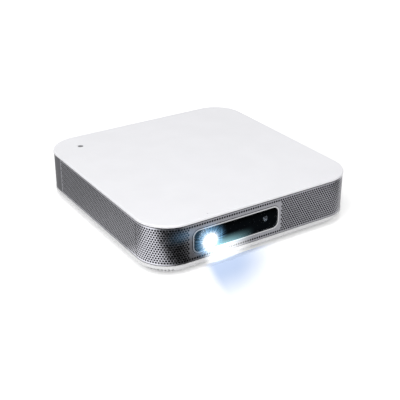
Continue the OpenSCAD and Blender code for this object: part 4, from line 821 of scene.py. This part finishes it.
def make_camera():
    """The photograph's camera."""
    data = bpy.data.cameras.new("camera")
    data.lens = CAMERA_LENS
    data.sensor_width = SENSOR
    data.clip_start = 0.01
    camera = bpy.data.objects.new("camera", data)
    bpy.context.scene.collection.objects.link(camera)
    camera.location = CAMERA_PLACE
    camera.rotation_euler = (CAMERA_TARGET - CAMERA_PLACE).to_track_quat("-Z", "Y").to_euler()
    bpy.context.scene.camera = camera


CARD_HEIGHT = 0.4 * MM


def staged(name, points, mat):
    """A flat sheet of the studio with these corners."""
    mesh = bpy.data.meshes.new(name)
    mesh.from_pydata(points, [], [range(len(points))])
    mesh.materials.append(mat)
    sheet = bpy.data.objects.new(name, mesh)
    bpy.context.scene.collection.objects.link(sheet)
    sheet.visible_shadow = sheet.visible_diffuse = sheet.visible_volume_scatter = False
    return sheet


def painted_reflection_card(name, corners, axis, stops):
    """A card on the floor that only glossy things see: a painted reflection. Its glow follows stops of (place,
    level).
    """
    mat = bare_material(name)
    glow = add_node(mat, "ShaderNodeEmission")
    along = add_node(mat, "ShaderNodeVectorMath")
    along.operation = "DOT_PRODUCT"
    along.inputs[1].default_value = axis
    link(mat, place(mat), along.inputs[0])
    level = stops[0][1]
    for (start, low), (end, high) in zip(stops, stops[1:]):
        step = fade(mat, along.outputs["Value"], start, end, 0.0, high - low)
        level = maths(mat, "ADD", level, step)
    link(mat, level, glow.inputs["Strength"])
    show(mat, glow.outputs["Emission"])
    card = staged(name, [(x, y, CARD_HEIGHT) for x, y in corners], mat)
    card.visible_camera = card.visible_transmission = False


def glow_material(name, strength, colour):
    """Clear, with light added. strength and colour are functions of the material."""
    mat = bare_material(name)
    clear = add_node(mat, "ShaderNodeBsdfTransparent")
    glow = add_node(mat, "ShaderNodeEmission")
    both = add_node(mat, "ShaderNodeAddShader")
    link(mat, strength(mat), glow.inputs["Strength"])
    link(mat, colour(mat), glow.inputs["Color"])
    link(mat, clear.outputs["BSDF"], both.inputs[0])
    link(mat, glow.outputs["Emission"], both.inputs[1])
    show(mat, both.outputs["Shader"])
    return mat


def tint_material(name, amount, tint):
    """Clear, with a tint. amount is a function of the material."""
    mat = bare_material(name)
    clear = add_node(mat, "ShaderNodeBsdfTransparent")
    link(mat, blend(mat, amount(mat), (1.0, 1.0, 1.0), tint), clear.inputs["Color"])
    show(mat, clear.outputs["BSDF"])
    return mat


# The star's middle, before the window ring and off the lens's axis, and the radius of its white core
STAR_SHIFT = Vector((-1.8, -1.3, -1.7))
lens, ring_low = middle("front_lens"), node_box("window_ring")[0]
STAR_AT = (Vector((lens.x, ring_low.y, lens.z)) + STAR_SHIFT) * MM
CORE = 5.4 * MM


def from_star(mat):
    """How far a point lies to the right of the star's middle, and above it."""
    x, _, z = axes(mat, place(mat))
    return maths(mat, "SUBTRACT", x, STAR_AT.x), maths(mat, "SUBTRACT", z, STAR_AT.z)


def length_of(mat, dx, dz):
    """The length of a step."""
    return maths(mat, "SQRT", maths(mat, "ADD", product(mat, dx, dx), product(mat, dz, dz)))


def star_rays(mat, dx, dz):
    """A white core with fine rays of uneven length."""
    distance = length_of(mat, dx, dz)
    rays = add_node(mat, "ShaderNodeTexNoise", Scale=20.0, Detail=2.0, Roughness=0.5)
    rays.noise_dimensions = "1D"
    link(mat, maths(mat, "ARCTAN2", dz, dx), rays.inputs["W"])
    reach = fade(mat, rays.outputs["Fac"], 0.38, 0.66, 0.5 * MM, 7.5 * MM)
    beyond = maths(mat, "MAXIMUM", maths(mat, "SUBTRACT", distance, CORE), 0.0)
    falling = maths(mat, "EXPONENT", product(mat, maths(mat, "DIVIDE", beyond, reach), -1.0))
    return product(mat, falling, fade(mat, distance, 17 * MM, 7 * MM), 1.8)


def burst_strength(mat):
    """The star, a soft streak at its upper left and a lit wall at its right."""
    dx, dz = from_star(mat)
    star = star_rays(mat, dx, dz)
    streak = product(mat, bell(mat, dx, -20 * MM, 11 * MM), bell(mat, dz, 11 * MM, 4 * MM), 0.11)
    wall = bell(mat, dx, 10.4 * MM, 0.6 * MM)
    wall_ends = fade(mat, dz, 9.5 * MM, 5 * MM), fade(mat, dz, -7 * MM, 0.0)
    lit_wall = product(mat, wall, *wall_ends, 0.22)
    return maths(mat, "ADD", maths(mat, "ADD", star, streak), lit_wall)


def burst_colour(mat):
    """White in the core and blue farther out."""
    cool = fade(mat, length_of(mat, *from_star(mat)), 4.5 * MM, 10 * MM)
    return blend(mat, cool, (1.0, 1.0, 0.97), (0.28, 0.62, 1.0))


def wash_strength(mat):
    """Light that lies over the lower edge of the window, right of the lens."""
    dx, dz = from_star(mat)
    below = fade(mat, dz, 2.5 * MM, -9.0 * MM)
    low_edge = fade(mat, dz, -22 * MM, -17 * MM)
    right = fade(mat, dx, -7 * MM, 7 * MM)
    reach = fade(mat, dx, 42 * MM, 4 * MM)
    return product(mat, below, right, reach, low_edge, 1.15)


def wash_colour(mat):
    """Teal on the glass and white below it."""
    low = fade(mat, from_star(mat)[1], -5.5 * MM, -9 * MM)
    return blend(mat, low, (0.45, 0.85, 0.95), (0.96, 0.99, 1.0))


def pool_tint(mat):
    """1 where the pale pool of light lies on the floor in front of the lens."""
    x, y, _ = axes(mat, place(mat))
    out = maths(mat, "SUBTRACT", -95 * MM, y)
    from_left = maths(mat, "ADD", maths(mat, "ADD", x, 45 * MM), product(mat, out, 0.32))
    from_right = maths(mat, "ADD", maths(mat, "SUBTRACT", x, 12 * MM), product(mat, out, 0.75))
    left = fade(mat, from_left, -10 * MM, 2 * MM)
    right = fade(mat, from_right, 12 * MM, -34 * MM)
    return product(mat, left, right, fade(mat, out, 66 * MM, 14 * MM))


def upright(name, x0, x1, y, z0, z1, mat):
    """A sheet that faces the front."""
    staged(name, [(x0, y, z0), (x1, y, z0), (x1, y, z1), (x0, y, z1)], mat)


def make_beam():
    """The light that leaves the lens: a star on the glass, a wash below it and a pool on the floor."""
    at = STAR_AT
    burst = glow_material("burst", burst_strength, burst_colour)
    upright("burst", at.x - 46 * MM, at.x + 18 * MM, at.y, at.z - 20 * MM, at.z + 22 * MM, burst)
    wash = glow_material("wash", wash_strength, wash_colour)
    upright("wash", -60 * MM, 10 * MM, at.y - 0.3 * MM, 1 * MM, 28 * MM, wash)
    pool = tint_material("pool", pool_tint, (0.50, 0.60, 0.80))
    corners = [(-75, -94), (25, -94), (25, -160), (-75, -160)]
    staged("pool", [(x * MM, y * MM, CARD_HEIGHT / 2) for x, y in corners], pool)


# Places on the floor: beside and before the case, off its left front corner, and how far the cards reach
BESIDE, BEFORE = cad_box[0].x - 3.5 * MM, cad_box[0].y - 0.5 * MM
CORNER_X, CORNER_Y = -0.058, -0.118
SPLIT_Y = -0.03
FAR, FAR_BEFORE = 0.6, -0.9

make_world()
make_floor()
make_camera()
area_light("top", (-0.36, -0.4, 1.1), (0.5, 0.5), 5.3)
area_light("fill_left", (-0.8, -0.65, 0.85), (0.9, 0.9), 5)
# Painted reflections: lit and dark cards that only glossy surfaces see, giving the corner its highlight and the
# window and front their dark reflections.
painted_reflection_card(
    "left_card", [(BESIDE, SPLIT_Y), (-FAR, SPLIT_Y), (-FAR, FAR), (BESIDE, FAR)],
    (0, 1, 0), [(SPLIT_Y, 0.85), (0.1, 0.56)],
)
painted_reflection_card(
    "corner_card", [(BESIDE, SPLIT_Y), (BESIDE, CORNER_Y), (-FAR, CORNER_Y), (-FAR, SPLIT_Y)],
    (0, -1, 0), [(-SPLIT_Y, 0.7), (0.06, 2.2)],
)
painted_reflection_card(
    "dark_card",
    [
        (BESIDE, CORNER_Y), (CORNER_X, BEFORE), (CORNER_X, FAR_BEFORE), (-FAR, FAR_BEFORE),
        (-FAR, CORNER_Y),
    ],
    (1, 0, 0), [(0.0, 0.02), (0.1, 0.02)],
)
painted_reflection_card(
    "front_card", [(CORNER_X, BEFORE), (FAR, BEFORE), (FAR, FAR_BEFORE), (CORNER_X, FAR_BEFORE)],
    (1, 0, 0), [(CORNER_X, 0.12), (-0.01, 0.64), (0.05, 0.7), (0.11, 0.82), (0.17, 0.3)],
)
make_beam()
bpy.context.scene.view_settings.view_transform = "Standard"
